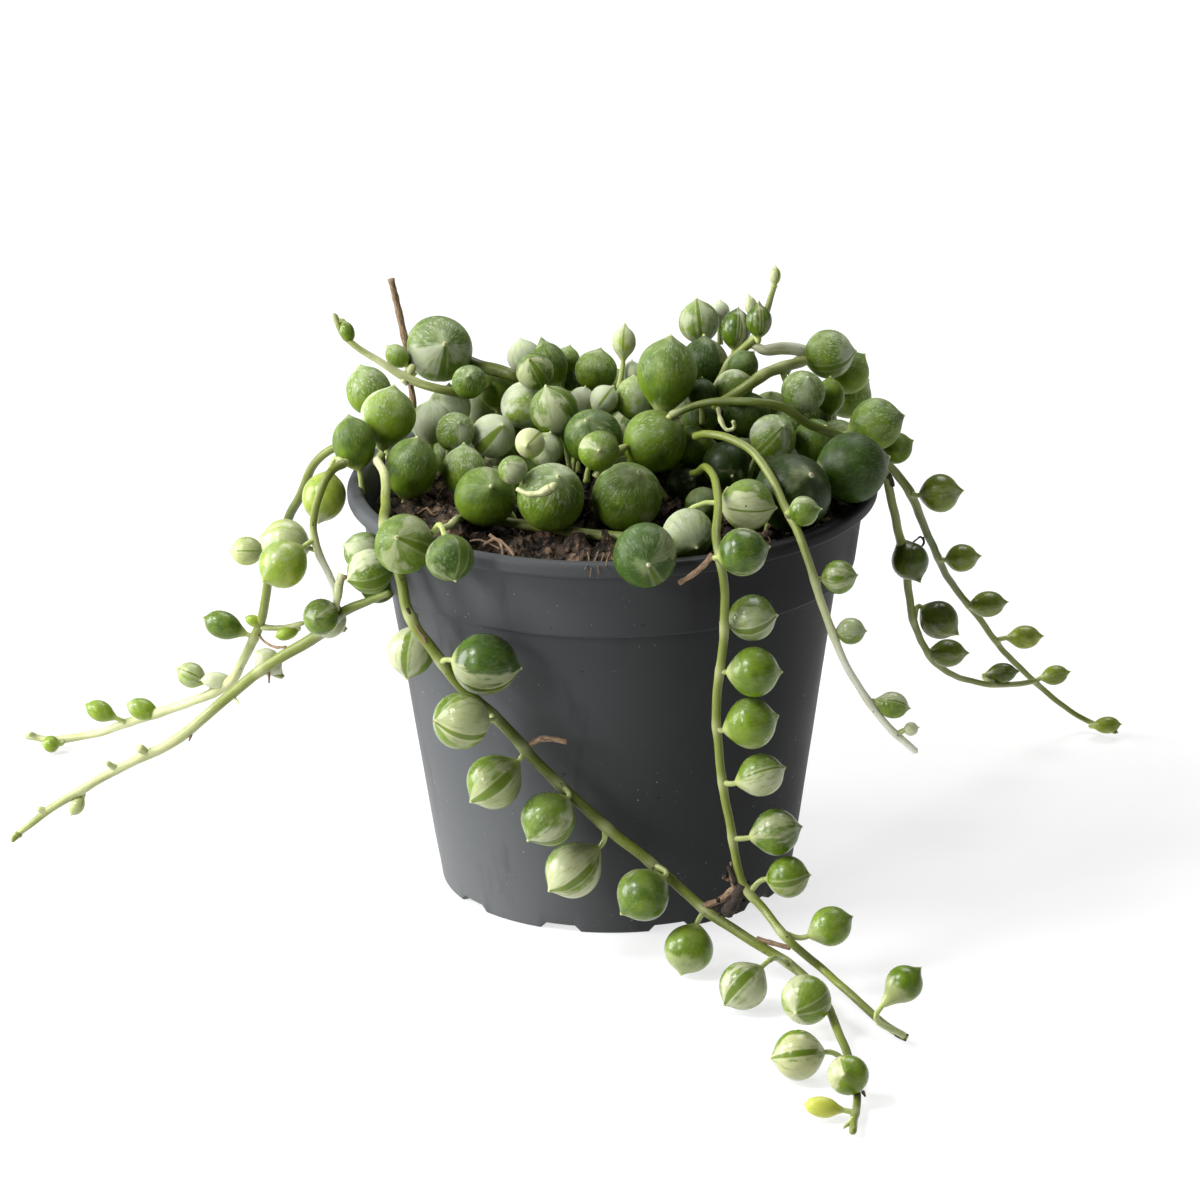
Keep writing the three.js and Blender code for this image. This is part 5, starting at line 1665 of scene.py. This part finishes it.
# Small or half hidden leaves of the crown.
SMALL_LEAVES = [
    Pearl((464, 471, -1), (7.2, 8.4), (0, 1, 0.2), 0.6, 1.4),
    Pearl((773, 437, 2), (7.4, 7.6), (0.4, 0.4, 0.8), 0.5, 1.0, (0, 0.1), ((60, 14), (-60, 14))),
    Pearl((397, 356, -24), (3.6, 4.4), (-0.7, 0.7, 0), 0.85, 1.4, stem="top_shoot"),
    Pearl((369, 391, -12), (7.4, 8.4), (-0.35, 1, 0), 0.6, 1.3),
    Pearl((431, 422, -14), (6.8, 7.0), (0, 1, 0), 0.95, 1.3, cream=((10, 75),)),
    Pearl((455, 432, -7), (6.4, 6.6), (0.2, 0.4, 0.9), 0.5, 1.3, cream=((60, 40),)),
    # Its pale sectors are partly its own colour, partly painted light that makes up for the shade it sits
    # in.
    Pearl((449, 408, -15), (7.2, 7.4), (0, 1, 0), 1.0, 1.4, cream=((30, 75), (-80, 26)), strength=1.3),
    Pearl((469, 382, -20), (5.6, 5.8), (0, 0.3, 1), 0.35, 0.9),
    Pearl((493, 436, -6), (7.2, 7.6), (0.4, 0.4, 0.8), 1.1, 1.5, (0, 0.24), ((180, 175),), strength=1.5),
    # Its pale sectors are partly its own colour, partly painted light that makes up for the shade it sits
    # in.
    Pearl((524, 405, -16), (7.6, 8.0), (0.8, 0.8, 0.4), 0.9, 1.4, cream=((180, 160),), strength=1.3),
    Pearl((530, 443, 6), (4.8, 5.0), (-0.2, -0.2, 1), 2.0, 0.5, (-45, 0.1), ((0, 180),), point=0.2),
    Pearl((546, 450, -4), (5.8, 6.0), (0.2, 0.8, 0.4), 0.6, 0.8, cream=((20, 50),)),
    Pearl((513, 470, 17), (4.6, 4.8), (-0.4, 0.4, 0.8), 0.5, 0.7, cream=((0, 70),), strength=0.75),
    Pearl((599, 451, 16), (6.4, 6.6), (0, 0, 1), 0.5, 0.4, cream=((60, 22),), strength=0.7),
    Pearl((596, 371, -26), (7.0, 7.2), (0.2, 1, 0.2), 0.5, 0.8),
    Pearl((549, 364, -26), (6.0, 8.0), (-0.3, 1, 0), 0.25, 0.4, point=0.25),
    Pearl((535, 371, -19), (6.0, 6.2), (-0.3, 0.6, 0.8), 0.3, 0.3, (10, 0.2), ((-60, 36), (70, 20)),
          strength=0.7),
    Pearl((604, 399, -13), (4.6, 4.8), (0.6, 0.8, 0), 1.8, 1.3, (0, 0.1), ((0, 130),), strength=1.3),
    Pearl((634, 398, -14), (6.4, 7.2), (0, 1, 0.3), 1.0, 1.4, cream=((90, 80),)),
    Pearl((699, 322, -29), (6.6, 7.2), (-0.1, 1, 0), 0.45, 0.7, (0, 0.1), ((24, 24), (-50, 12)),
          strength=0.7),
    Pearl((743, 366, -17), (5.0, 5.4), (0.6, 0.8, 0), 0.15, 0.6),
    Pearl((733, 388, -17), (6.2, 6.6), (-0.8, -0.3, 0), 0.35, 0.6, cream=((60, 24),)),
    Pearl((847, 372, -24), (7.4, 7.6), (0.6, 0.6, 0), 0.75, 0.6),
    Pearl((830, 396, -12), (4.8, 6.0), (0, 1, 0.3), 0.6, 0.1, taper=0.3),
    Pearl((790, 427, -8), (6.4, 6.6), (0.4, 0.6, 0.4), 0.3, 0.7),
    Pearl((896, 448, -9), (5.2, 5.6), (0.9, 0.4, 0), 0.5, 0.35),
    Pearl((703, 505, 13), (5.8, 6.0), (0, -0.4, 0.8), -0.3, 0.0, cream=((0, 60),), strength=0.2),
    Pearl((726, 465, 2), (7.6, 8.0), (0.2, -0.4, 0.8), -1.0, -0.06),
    Pearl((692, 446, 6), (6.6, 7.0), (0, 0.4, 0.8), 0.5, 0.2),
    # Its low tint is painted shade: this pearl lies deep between others.
    Pearl((686, 485, -3), (6.4, 6.6), (0.2, 0.2, 0.8), -1.0, -0.1),
    Pearl((700, 419, -8), (5.8, 6.0), (0, 0.6, 0.6), 0.2, 0.5),
    Pearl((747, 415, -10), (7.6, 8.0), (0.2, 0.4, 0.8), 0.2, 0.35),
    Pearl((632, 372, -24), (3.3, 3.6), (0, 1, 0), 1.4, 1.4, cream=((0, 170),), strength=1.2),
    Pearl((567, 360, -30), (4.3, 4.6), (0.2, 1, 0), 0.9, 1.0),
    Pearl((524, 357, -30), (5.6, 5.9), (-0.2, 1, 0), 1.0, 0.9, cream=((0, 120),)),
    Pearl((582, 400, -18), (4.3, 4.5), (0.2, 0.8, 0.4), 2.0, 1.4, cream=((0, 180),), strength=1.2),
    Pearl((720, 311, -33), (3.2, 3.4), (0, 1, 0), 1.8, 1.4, cream=((0, 180),), strength=1.2),
    Pearl((498, 390, -26), (6.4, 6.6), (0, 1, 0), 0.4, 0.1),
    Pearl((682, 401, -10), (5.0, 5.4), (0, 1, 0), 0.3, 0.8, cream=((0, 50),)),
    Pearl((771, 413, -17), (7.2, 7.4), (0, 0.6, 0.4), 1.2, 1.1),
    Pearl((815, 419, -14), (7.2, 7.4), (0.4, 0.6, 0.4), 0.35, 0.6),
    Pearl((478, 404, -24), (7.0, 7.4), (0, 1, 0.2), 0.6, 0.9, cream=((20, 90),)),
    Pearl((849, 396, -18), (7.6, 7.8), (0.6, 0.5, 0), 0.6, 1.3),
    Pearl((815, 440, -2), (7.0, 7.2), (0.3, 0.4, 0.5), 0.25, 0.4),
    Pearl((838, 441, -6), (7.0, 7.2), (0.5, 0.4, 0.5), 0.8, 1.0),
    Pearl((702, 393, -14), (4.6, 4.8), (0, 1, 0.3), -0.2, 0.3),
    Pearl((570, 386, -30), (7.0, 7.2), (0, 1, 0.2), 0.1, 0.5),
    Pearl((482, 384, -30), (6.0, 6.2), (0, 1, 0.2), 0.3, 0.6),
    Pearl((364, 552, 20), (6.5, 6.7), (-0.8, 0.3, 0.3), 0.4, 0.7, cream=((0, 40),), strength=0.75),
    Pearl((378, 585, 18), (5.9, 6.1), (-0.4, -0.8, 0.2), 0.0, 0.4),
    Pearl((624, 342, -24), (3.9, 5.4), (0.05, 1, 0), 1.2, 0.5, (-5, 0.08), ((-44, 34), (40, 32)),
          taper=0.4, point=0.25, foot=(619, 388)),
]


# Which routes make up each packed stem, how thick they run, and how green they are.
STEMS: dict[str, list[Stem]] = {
    "stem_front_left": [
        Stem("front_left", (0.66, 0.84, 0.88, 0.86, 0.82, 0.78, 0.7, 0.66, 0.6),
             (CREAM, DEEP, DEEP, OLIVE, DEEP, DEEP, GREEN, OLIVE, GREEN), 0.3),
    ],
    "stem_front_right": [
        Stem("front_right", (0.55, 0.64, 0.68, 0.7, 0.7, 0.68, 0.64, 0.6),
             (OLIVE, GREEN, DEEP, GREEN, GREEN, DEEP, GREEN, OLIVE), 0.15, before=((692, 473, 10),)),
    ],
    "stem_side_right": [
        Stem("side", (0.62, 0.66, 0.66, 0.64, 0.6, 0.55), (DEEP, DEEP, GREEN, LIGHT, CREAM, WHITE, WHITE),
             0.04),
    ],
    "stem_right": [
        Stem("right", (0.5, 0.7, 0.74, 0.7, 0.62, 0.56, 0.5, 0.45),
             (OLIVE, OLIVE, DEEP, OLIVE, DEEP, GREEN, GREEN), 0.2,
             before=((670, 417, -5), (672.5, 414, 0.6))),
        Stem("right_branch", (0.7, 0.72, 0.62, 0.52, 0.46), (DEEP, DEEP, DEEP, GREEN, LIGHT), 0.2),
    ],
    "stem_left_low": [
        Stem("left_low", (0.52, 0.8, 0.96, 0.92, 0.92, 0.9, 0.78, 0.68, 0.5),
             (DEEP, OLIVE, DEEP, GREEN, LIGHT, PALE, LIGHT, LIGHT), 0.05),
        Stem("left_drop", (0.72, 0.66, 0.62, 0.62, 0.58), (DEEP, DEEP, WHITE, WHITE), 0.15),
    ],
    "stem_left_high": [
        Stem("left_high", (0.66, 0.76, 0.78, 0.78, 0.82, 0.82, 0.72, 0.56),
             (GREEN, OLIVE, GREEN, LIGHT, PALE, PALE, LIGHT), 0.05),
        Stem("left_fork", (0.5, 0.45, 0.4), (LIGHT, LIGHT), 0.1),
    ],
    "shoot_top_left": [
        Stem("top_shoot", (0.42, 0.55, 0.7, 0.78, 0.8), (DEEP, PALE, LIGHT, DEEP), 0.1),
    ],
    "stem_on_soil": [
        Stem("on_soil", (0.45, 0.62, 0.82, 0.85), (PALE, PALE, GREEN, LIGHT), 0.3),
    ],
    "stem_crown_upper": [
        Stem("upper", (0.85, 0.8, 0.6, 0.42), (DEEP, LIGHT), 0.1),
        Stem("upper_side", (0.5, 1.0, 1.05, 1.1, 0.8), (CREAM, CREAM, WHITE, PALE), 0.1,
             before=((746, 347, -17.3),), after=((813, 358, -22), (822, 372, -23))),
    ],
    "stem_crown_crossing": [
        Stem("crossing", (0.85, 0.92, 0.88), (DEEP, GREEN, LIGHT), 0.15),
    ],
    "stem_crown_old": [
        Stem("old", (1.0, 1.05, 0.9), (OLIVE, OLIVE), 0.3, after=((527, 383, -26),)),
    ],
}


@dataclass(frozen=True)
class Scrap:
    """A small loose detail: a root, thorn, dry stalk or bare shoot.

    Attributes:
        route: Its readings.
        thick: Its radius at its start and at its end.
        slot: 0 for green stem, 1 for dry bark, 2 for dark bark and soil.
        shade: How green it is.
        lift: How far it is raised towards the viewer.
    """

    route: tuple
    thick: tuple
    slot: int = 1
    shade: float = 0.3
    lift: float = 0.0

    def places(self, near: float = 1.6, reach: float = 6.0) -> np.ndarray:
        """Its places, moved along the line of sight onto the stem that it starts at in the picture."""
        places = np.array(trail(*self.route))
        line = unit(places[0] - SIGHT.eye)
        shift = 0.0
        for name in ROUTES:
            off = smooth_route(ROUTES[name]) - places[0]
            along = off @ line
            aside = np.linalg.norm(off - along[:, None] * line, axis=1) + 99 * (np.abs(along) > reach)
            if aside.min() < near:
                near, shift = float(aside.min()), float(along[np.argmin(aside)])
        return places + line * (shift - self.lift)

    def add_to(self, skin: Skin) -> None:
        """Adds it to a skin as a thin tapered tube."""
        path = smooth_route(self.places(), 0.2)
        length = run_length(path)
        radius = np.interp(length, [0.0, length[-1]], self.thick)
        if self.slot == 0:
            to_end = (length[-1] - length) / self.thick[1]
            radius *= np.sqrt(np.clip(1 - (1 - to_end).clip(0, 1) ** 2, 0.01, 1))
        radius = radius * (1 + 0.12 * Waves(len(path) + int(radius[0] * 100), 4.0, 1.0, 16).at(path))
        grid = sweep(path, np.maximum(radius, 0.05), 9)
        skin.add(grid, slot=self.slot, run=run_field(path, 9, self.shade), wear=np.array([0.0, 0.1, 0.0]))


# The loose details that show in the picture.
SCRAPS = [
    Scrap(((530, 744, 37.5), (541, 739, 38.5), (553, 739, 39), (567, 742, 39.5)), (0.42, 0.5)),
    Scrap(((744, 885, 49), (733, 890, 47), (722, 899, 45), (704, 906, 43.5)), (0.75, 0.5)),
    Scrap(((731, 862, 48), (731, 876, 48), (735, 890, 48)), (0.2, 0.4)),
    Scrap(((757, 939, 6.6, UP), (772, 943, 6.4, UP), (790, 948, 6.0, UP)), (0.45, 0.4)),
    Scrap(((713, 555, 43.5), (703, 566, 43.5), (692, 575, 43.2), (679, 583, 43)), (0.5, 0.38)),
    Scrap(((257, 633, -26), (265, 642, -24), (275, 647, -22), (286, 647, -20)), (0.2, 0.22)),
    Scrap(((268, 668, 1), (269, 676, 1), (269, 683, 1)), (0.3, 0.15)),
    Scrap(((232, 696, -2), (237, 701, -1), (240, 705, 0)), (0.45, 0.08), 0, 0.15),
    Scrap(((189, 729, -4.5), (191, 735, -4), (189, 741, -4)), (0.3, 0.12)),
    Scrap(((342, 575, 12), (339, 585, 13), (338, 597, 13.5), (336, 612, 13)), (0.7, 0.55), 0, 0.0),
    Scrap(((330, 575, 12.5), (331, 578, 13)), (0.3, 0.22)),
    Scrap(((345, 576, 13), (346, 579, 13.4)), (0.3, 0.22)),
    Scrap(((149, 754, -6.6), (143, 750, -6.3), (137, 747, -6)), (0.7, 0.75), 0, 0.15),
    Scrap(((118, 769, -8.1), (112, 766, -7.8), (106, 762, -7.5)), (0.62, 0.42), 0, 0.2),
    Scrap(((47, 812, -10.4), (42, 810, -10.4), (37, 808, -10.4)), (0.6, 0.55), 0, 0.2),
    Scrap(((19, 834, 1.4, UP), (15, 838, 1.3, UP), (12, 841, 1.2, UP)), (0.6, 0.35), 0, 0.5),
    Scrap(((38, 738, 1.8, UP), (33, 735, 2.4, UP), (28, 734, 3.0, UP)), (0.5, 0.5), 0, 0.1),
    Scrap(((383, 452, -3), (379, 459, -2.6), (377, 467, -2.4)), (0.7, 0.95), 0, 0.3),
    Scrap(((415, 625, 34), (421, 634, 34.3), (427, 642, 34.5)), (0.2, 0.34), lift=0.7),
    Scrap(((407, 608, 32.6), (410, 614, 33)), (0.2, 0.16), 2, lift=0.78),
    Scrap(((728, 866, 47), (733, 876, 47.5), (740, 888, 47.5)), (0.35, 0.7), 2),
    Scrap(((743, 884, 47), (739, 893, 47), (734, 903, 46.5), (727, 912, 45.5)), (0.8, 1.05), 2),
    Scrap(((738, 902, 47), (731, 906, 46.5), (724, 907, 46)), (0.9, 0.4), 2),
    Scrap(((888, 475, -3.5), (891, 479, -3.8), (893, 486, -4)), (0.55, 0.4), 2, lift=0.8),
    Scrap(((924, 541, -15), (921, 537, -14.6), (916, 540, -12.5), (911, 544, -10)), (0.17, 0.14), 2),
    Scrap(((923, 537, -15), (924, 542, -14.8), (922, 546, -14), (918, 547, -12.6)), (0.2, 0.12), 2),
    Scrap(((853, 1120, 1.6, UP), (848, 1124, 1.6, UP), (843, 1128, 1.5, UP)), (0.5, 0.35), 0, 0.15),
    Scrap(((863, 1092, 1.7, UP), (865, 1096, 1.8, UP)), (0.25, 0.2)),
    Scrap(((897, 1033, 1.6, UP), (903, 1036, 1.5, UP), (907, 1038, 1.3, UP)), (0.68, 0.62), 2),
    Scrap(((596, 478, 6), (604, 466, 5.5), (614, 455, 5), (628, 445, 4)), (0.8, 0.7), 0, 0.3),
    Scrap(((611, 468, 5), (618, 462, 5), (627, 457, 4)), (0.4, 0.4), 0, 0.2),
    Scrap(((517, 489, 23), (528, 494, 24), (541, 493, 24.5), (553, 487, 24.5)), (0.3, 0.78), 0, 0.15),
    Scrap(((551, 489, 24.5), (555, 485, 24.5), (557, 483, 24.3)), (0.78, 0.5), 0, 0.15),
    Scrap(((404, 383, -19), (409, 374, -20), (414, 364, -21)), (0.6, 0.9), 0, 0.15),
    Scrap(((718, 408, 3), (721, 421, 5), (727, 430, 6), (734, 428, 6), (733, 420, 6)), (0.4, 0.3), 0,
          0.2),
    Scrap(((470, 541, 30), (480, 540, 31), (492, 545, 32), (500, 549, 33)), (0.16, 0.12)),
    Scrap(((484, 545, 32), (496, 540, 31), (508, 548, 33), (514, 556, 36)), (0.35, 0.25)),
    Scrap(((490, 535, 30), (500, 543, 32), (503, 556, 35)), (0.3, 0.16)),
    Scrap(((598, 552, 37), (594, 563, 40), (591, 570, 42.6), (590, 577, 42.9)), (0.14, 0.1)),
    Scrap(((604, 553, 37), (601, 562, 40), (598, 568, 42.7), (599, 574, 42.9)), (0.12, 0.08)),
    Scrap(((588, 553, 37), (589, 562, 40), (586, 567, 42.6), (584, 570, 42.8)), (0.12, 0.08)),
    Scrap(((610, 552, 37), (607, 560, 40), (606, 566, 42.6)), (0.1, 0.08)),
]


class Plant:
    """The stems and pearls, from the readings to the finished pieces.

    Attributes:
        hidden_tries: Places drawn for pearls at the back of the crown.
        hidden_limit: The most of them that are kept.
        clump_crumbs: Crumbs round each place of the clump on the front strand.
        rim_radius: Radius of the middle of the pot's lip.
        rim_height: Height of the middle of the lip.
        rim_thick: Half the thickness of the lip.
        sunk: How low a stalk may begin in the crown.
        near_stem: How far a stem may be from a leaf's base to carry it, where the leaf names none.
        behind: How squarely behind the base it must be, as a cosine.
        hidden_reach: How far out the hidden pearls stand.
        hidden_top: How high they may stand.
        hidden_sizes: Their smallest and largest radius.
    """

    hidden_tries = 9000
    hidden_limit = 120
    clump_crumbs = 9
    rim_radius = 41.25
    rim_height = 65.7
    rim_thick = 1.6
    sunk = SOIL_TOP - 0.6
    near_stem = 5.0
    behind = 0.35
    hidden_reach = 36.5
    hidden_top = 84.0
    hidden_sizes = (2.7, 4.9)

    def __init__(self) -> None:
        """Makes the finishes and an empty heap."""
        self.shape = PearlShape()
        self.skin_finish = PearlFinish().make()
        self.wax_finish = PearlFinish(
            "waxy_pearl_skin", gloss=0.46, shine=0.2, coat=0.06, coat_roughness=0.25, frost_and_glare=1.0, flecks=0.72,
            wander=2.1, rag=0.7, rim=0.2,
        ).make()
        olive_skin = PearlFinish("olive_pearl_skin", dark=colour(60, 76, 8), bright=colour(112, 128, 26))
        self.olive_finish = olive_skin.make()
        self.stem_finish = StemFinish().make()
        self.bark_finish = BarkFinish().make()
        self.heap = Heap()
        self.seed = 100
        self.feet: dict[str, list[np.ndarray]] = {name: [] for name in ROUTES}
        self.pieces: list[bpy.types.Object] = []

    def fill_heap(self) -> None:
        """Puts the rim, the stems and the leaves that have a solid into the heap."""
        self.heap.add(circle(90) * self.rim_radius + np.array([0.0, 0.0, self.rim_height]), self.rim_thick)
        for stems in STEMS.values():
            for stem in stems:
                self.heap.add(stem.path()[::2], max(stem.thick))
        for item in LEAVES:
            self.heap.add(blade_centre(item), sum(item.size) / 4, True)

    def foot_of(self, item: Pearl, centre: np.ndarray, axis: np.ndarray) -> np.ndarray:
        """Where a pearl's stalk begins.

        It is on the stem that the pearl names, at its foot's reading if it has one; or at the reading, as
        deep as the pearl; or on a stem close behind it; or else back and down, in the next pearl, stem or
        the peat.
        """
        base = centre - axis * item.size[1] / 2 * (1 + item.taper)
        if item.stem:
            foot = nearest_on(item.stem, SIGHT.as_deep(item.foot, base) if item.foot else base)
            self.feet[item.stem].append(foot)
            return foot
        if item.foot:
            return SIGHT.as_deep(item.foot, base)
        for name in ROUTES:
            if name != "twig":
                near = nearest_on(name, base)
                gap = near - base
                if np.linalg.norm(gap) < self.near_stem and unit(gap) @ -axis > self.behind:
                    self.feet[name].append(near)
                    return near
        back = unit(-axis * 0.6 + np.array([0.0, 0.0, -0.6]))
        steps = base + np.arange(2.4, 18.0, 0.4)[:, None] * back
        caught = (self.heap.room(steps, 0.0) < -0.3) | (steps[:, 2] < self.sunk)
        foot = steps[int(np.argmax(caught))] if caught.any() else steps[3]
        if np.hypot(foot[0], foot[1]) < 39:
            foot[2] = max(foot[2], self.sunk)
        return foot

    def grow(
        self, item: Pearl, centre: np.ndarray, skin: Skin, slot: int = 0, shape: PearlShape | None = None
    ) -> None:
        """Adds one pearl to a skin."""
        axis = SIGHT.direction(*item.tip)
        foot = self.foot_of(item, centre, axis)
        self.seed += 1
        points, fields = (shape or self.shape).grid(item, centre, axis, foot, self.seed)
        skin.add(points, slot=slot, **fields)

    def finish_piece(
        self, skin: Skin, name: str, finishes: list, nodes: Iterable[str]
    ) -> bpy.types.Object:
        """Makes a piece, rides it on the body and replaces its solids."""
        piece = skin.make(name, finishes)
        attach(piece, "root")
        if nodes:
            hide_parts(*nodes)
        self.pieces.append(piece)
        return piece

    def make_leaves(self) -> None:
        """Makes a piece for each leaf that has a solid."""
        for item in LEAVES:
            skin = Skin(*PEARL_FIELDS)
            self.grow(item, blade_centre(item), skin)
            finish = self.wax_finish if "crown" in item.node else self.skin_finish
            self.finish_piece(skin, item.node.replace("leaf", "pearl"), [finish], [item.node])

    def make_small_leaves(self) -> None:
        """Makes the crown's small leaves, each moved along its line of sight to where there is room."""
        skin = Skin(*PEARL_FIELDS)
        shape = PearlShape(20, 6, 26)
        for item in SMALL_LEAVES:
            radius = sum(item.size) / 4
            centre = self.heap.nearest_free(ahead(*item.at), radius * 0.94)
            self.heap.add(centre, radius, True)
            self.grow(item, centre, skin, shape=shape)
        self.finish_piece(skin, "small_crown_pearls", [self.wax_finish], [])

    def make_hidden_leaves(self) -> None:
        """Fills the back of the crown, where other pearls hide it in the picture.

        Places over the soil are drawn at random, and each pearl drops to the lowest free height there. It is
        kept if the nearer pearls cover it.
        """
        draw = np.random.default_rng(77)
        skin = Skin(*PEARL_FIELDS)
        shape = PearlShape(14, 4, 20)
        kept = 0
        for _ in range(self.hidden_tries):
            if kept >= self.hidden_limit:
                break
            out = self.hidden_reach * np.sqrt(draw.uniform())
            around = draw.uniform(0, TURN)
            radius = draw.uniform(*self.hidden_sizes)
            heights = np.arange(SOIL_TOP + radius - 0.2, self.hidden_top, 0.4)
            level = 0 * heights + out
            places = np.stack([level * np.cos(around), level * np.sin(around), heights], axis=1)
            free = np.flatnonzero(self.heap.room(places, radius) > self.heap.clear)
            if not len(free):
                continue
            centre = places[free[0]]
            if not self.heap.hidden(centre, radius):
                continue
            self.heap.add(centre, radius, True)
            kept += 1
            tip = unit(np.array([centre[0] * 0.03, centre[1] * 0.03, 0.6]) + draw.normal(0, 0.6, 3))
            item = Pearl(
                at=(0, 0),
                size=(radius * 1.96, radius * 2.04),
                tip=(0, 0, 1),
                window=(draw.uniform(-180, 180), draw.uniform(0.05, 0.16)),
                cream=(
                    (draw.uniform(-180, 180), draw.uniform(10, 45)),
                    (draw.uniform(-180, 180), draw.uniform(-20, 30)),
                ),
                tint=draw.uniform(0.15, 0.6),
                silver=draw.uniform(0.3, 1.0),
            )
            self.seed += 1
            foot = centre - tip * radius * 1.12 + unit(-tip * 0.4 - np.array([0, 0, 0.6])) * 3.0
            foot[2] = max(foot[2], self.sunk)
            points, fields = shape.grid(item, centre, tip, foot, self.seed)
            skin.add(points, **fields)
        LOG.info("hidden pearls: %d", kept)
        self.finish_piece(skin, "back_crown_pearls", [self.wax_finish], [])

    def make_stems(self) -> None:
        """Makes a piece for each packed stem, with its buds."""
        for node, stems in STEMS.items():
            skin = Skin(*PEARL_FIELDS, *STEM_FIELDS)
            for stem in stems:
                for bud in BUDS.get(stem.route, []):
                    item = replace(bud, stem=stem.route)
                    centre = high(*item.at[:2], item.height) if item.height else ahead(*item.at)
                    self.grow(item, centre, skin, slot=1, shape=PearlShape(22, 7, 30))
            for stem in stems:
                stem.grow(skin, np.array(self.feet[stem.route] or [[0.0, 0.0, -99.0]]))
            skins = self.olive_finish if node == "stem_right" else self.skin_finish
            name = node.replace("stem", "strand")
            self.finish_piece(skin, name, [self.stem_finish, skins], [node])

    def make_scraps(self) -> None:
        """Makes the dry twig and the loose details."""
        twig = Skin("run")
        path = smooth_route(ROUTES["twig"], 0.4)
        length = run_length(path)
        radius = 0.52 * (1 + 0.14 * Waves(3, 6.0, 1.0, 30).at(path))
        radius = radius * (1 + 0.25 * np.exp(-((length / 1.2) ** 2)))
        twig.add(sweep(path, radius, 12), run=run_field(path, 12, 0.5))
        self.finish_piece(twig, "dry_twig_bark", [self.bark_finish], ["dry_twig"])
        loose = Skin(*STEM_FIELDS)
        for scrap in SCRAPS:
            scrap.add_to(loose)
        dark = BarkFinish(colour(60, 44, 32), colour(18, 13, 10)).make()
        self.finish_piece(loose, "roots_and_stubs", [self.stem_finish, self.bark_finish, dark], [])
        draw = np.random.default_rng(55)
        spine = np.array(trail((731, 878, 47.2), (738, 890, 47.2), (734, 901, 46.8), (727, 909, 46.2)))
        centres = np.repeat(spine, self.clump_crumbs, axis=0)
        centres = centres + draw.normal(0, 0.6, centres.shape)
        clump = Skin()
        clump.add(Soil().crumb_grids(centres, draw.uniform(0.35, 0.75, len(centres)), 56))
        self.finish_piece(clump, "clinging_peat", [bpy.data.materials["peat_mix"]], [])

    def make(self) -> list[bpy.types.Object]:
        """Makes the whole plant."""
        self.fill_heap()
        self.make_leaves()
        self.make_small_leaves()
        self.make_hidden_leaves()
        self.make_stems()
        self.make_scraps()
        return self.pieces


@dataclass(frozen=True)
class Panel:
    """A soft studio panel.

    Attributes:
        place: Where it stands, in metres.
        size: Its width and height in metres.
        power: Its power in watts.
        aim: What it faces, in metres.
    """

    place: tuple
    size: tuple
    power: float
    aim: tuple = (0.0, 0.0, 0.06)

    def hang(self, name: str) -> None:
        """Makes the light."""
        data = bpy.data.lights.new(name, "AREA")
        data.shape = "RECTANGLE"
        data.size, data.size_y = self.size
        data.energy = self.power
        light = placed(name, data)
        back = unit(np.array(self.place) - np.array(self.aim))
        side = unit(np.cross([0.0, 0.0, 1.0], back))
        turn = np.stack([side, np.cross(back, side), back], axis=1)
        light.matrix_world = Matrix.Translation(self.place) @ Matrix(turn.tolist()).to_4x4()


@dataclass
class Studio:
    """A pale floor, a pale surround and soft panels."""

    surround: float = 0.13
    panels: tuple = (
        Panel((-0.62, -0.25, 0.80), (0.27, 0.27), 8.2),
        Panel((-0.67, -0.64, 0.44), (0.24, 0.24), 3.4),
        Panel((-0.9, 0.05, 0.26), (0.5, 0.7), 15.5),
        Panel((0.15, 0.5, 0.95), (0.6, 0.5), 6.5),
    )

    def make(self) -> None:
        """Makes the floor, the surround and the lights."""
        floor = Graph("pale_floor")
        mottle = floor.noise(floor.place(), 6.0, 2.0)
        tone = floor.mix(floor.step(mottle, 0.3, 0.7), colour(146, 146, 146), colour(149, 149, 149))
        material = floor.finish(
            Base_Color=tone,
            Roughness=0.9,
            Specular_IOR_Level=0.0,
            Emission_Color=(1.0, 1.0, 1.0, 1.0),
            Emission_Strength=0.71,
        )
        mesh = bpy.data.meshes.new("floor")
        half = 4.0
        corners = [(-half, -half, 0), (half, -half, 0), (half, half, 0), (-half, half, 0)]
        mesh.from_pydata(corners, [], [(0, 1, 2, 3)])
        mesh.materials.append(material)
        plane = placed("floor", mesh)
        world = bpy.data.worlds.new("surround")
        world.use_nodes = True
        world.node_tree.nodes["Background"].inputs["Color"].default_value = (1.0, 1.0, 1.0, 1.0)
        world.node_tree.nodes["Background"].inputs["Strength"].default_value = self.surround
        bpy.context.scene.world = world
        bpy.context.scene.view_settings.view_transform = "Standard"
        for index, panel in enumerate(self.panels):
            panel.hang(f"panel_{index}")


def main() -> None:
    """Builds the scene in order and reports each piece."""
    logging.basicConfig(level=logging.INFO, format="%(message)s")
    SIGHT.make_camera()
    Studio().make()
    pieces = [Pot().make(), *Soil().make(), *Plant().make()]
    for piece in pieces:
        LOG.info("%s: %d faces", piece.name, len(piece.data.polygons))


if __name__ == "__main__":
    main()
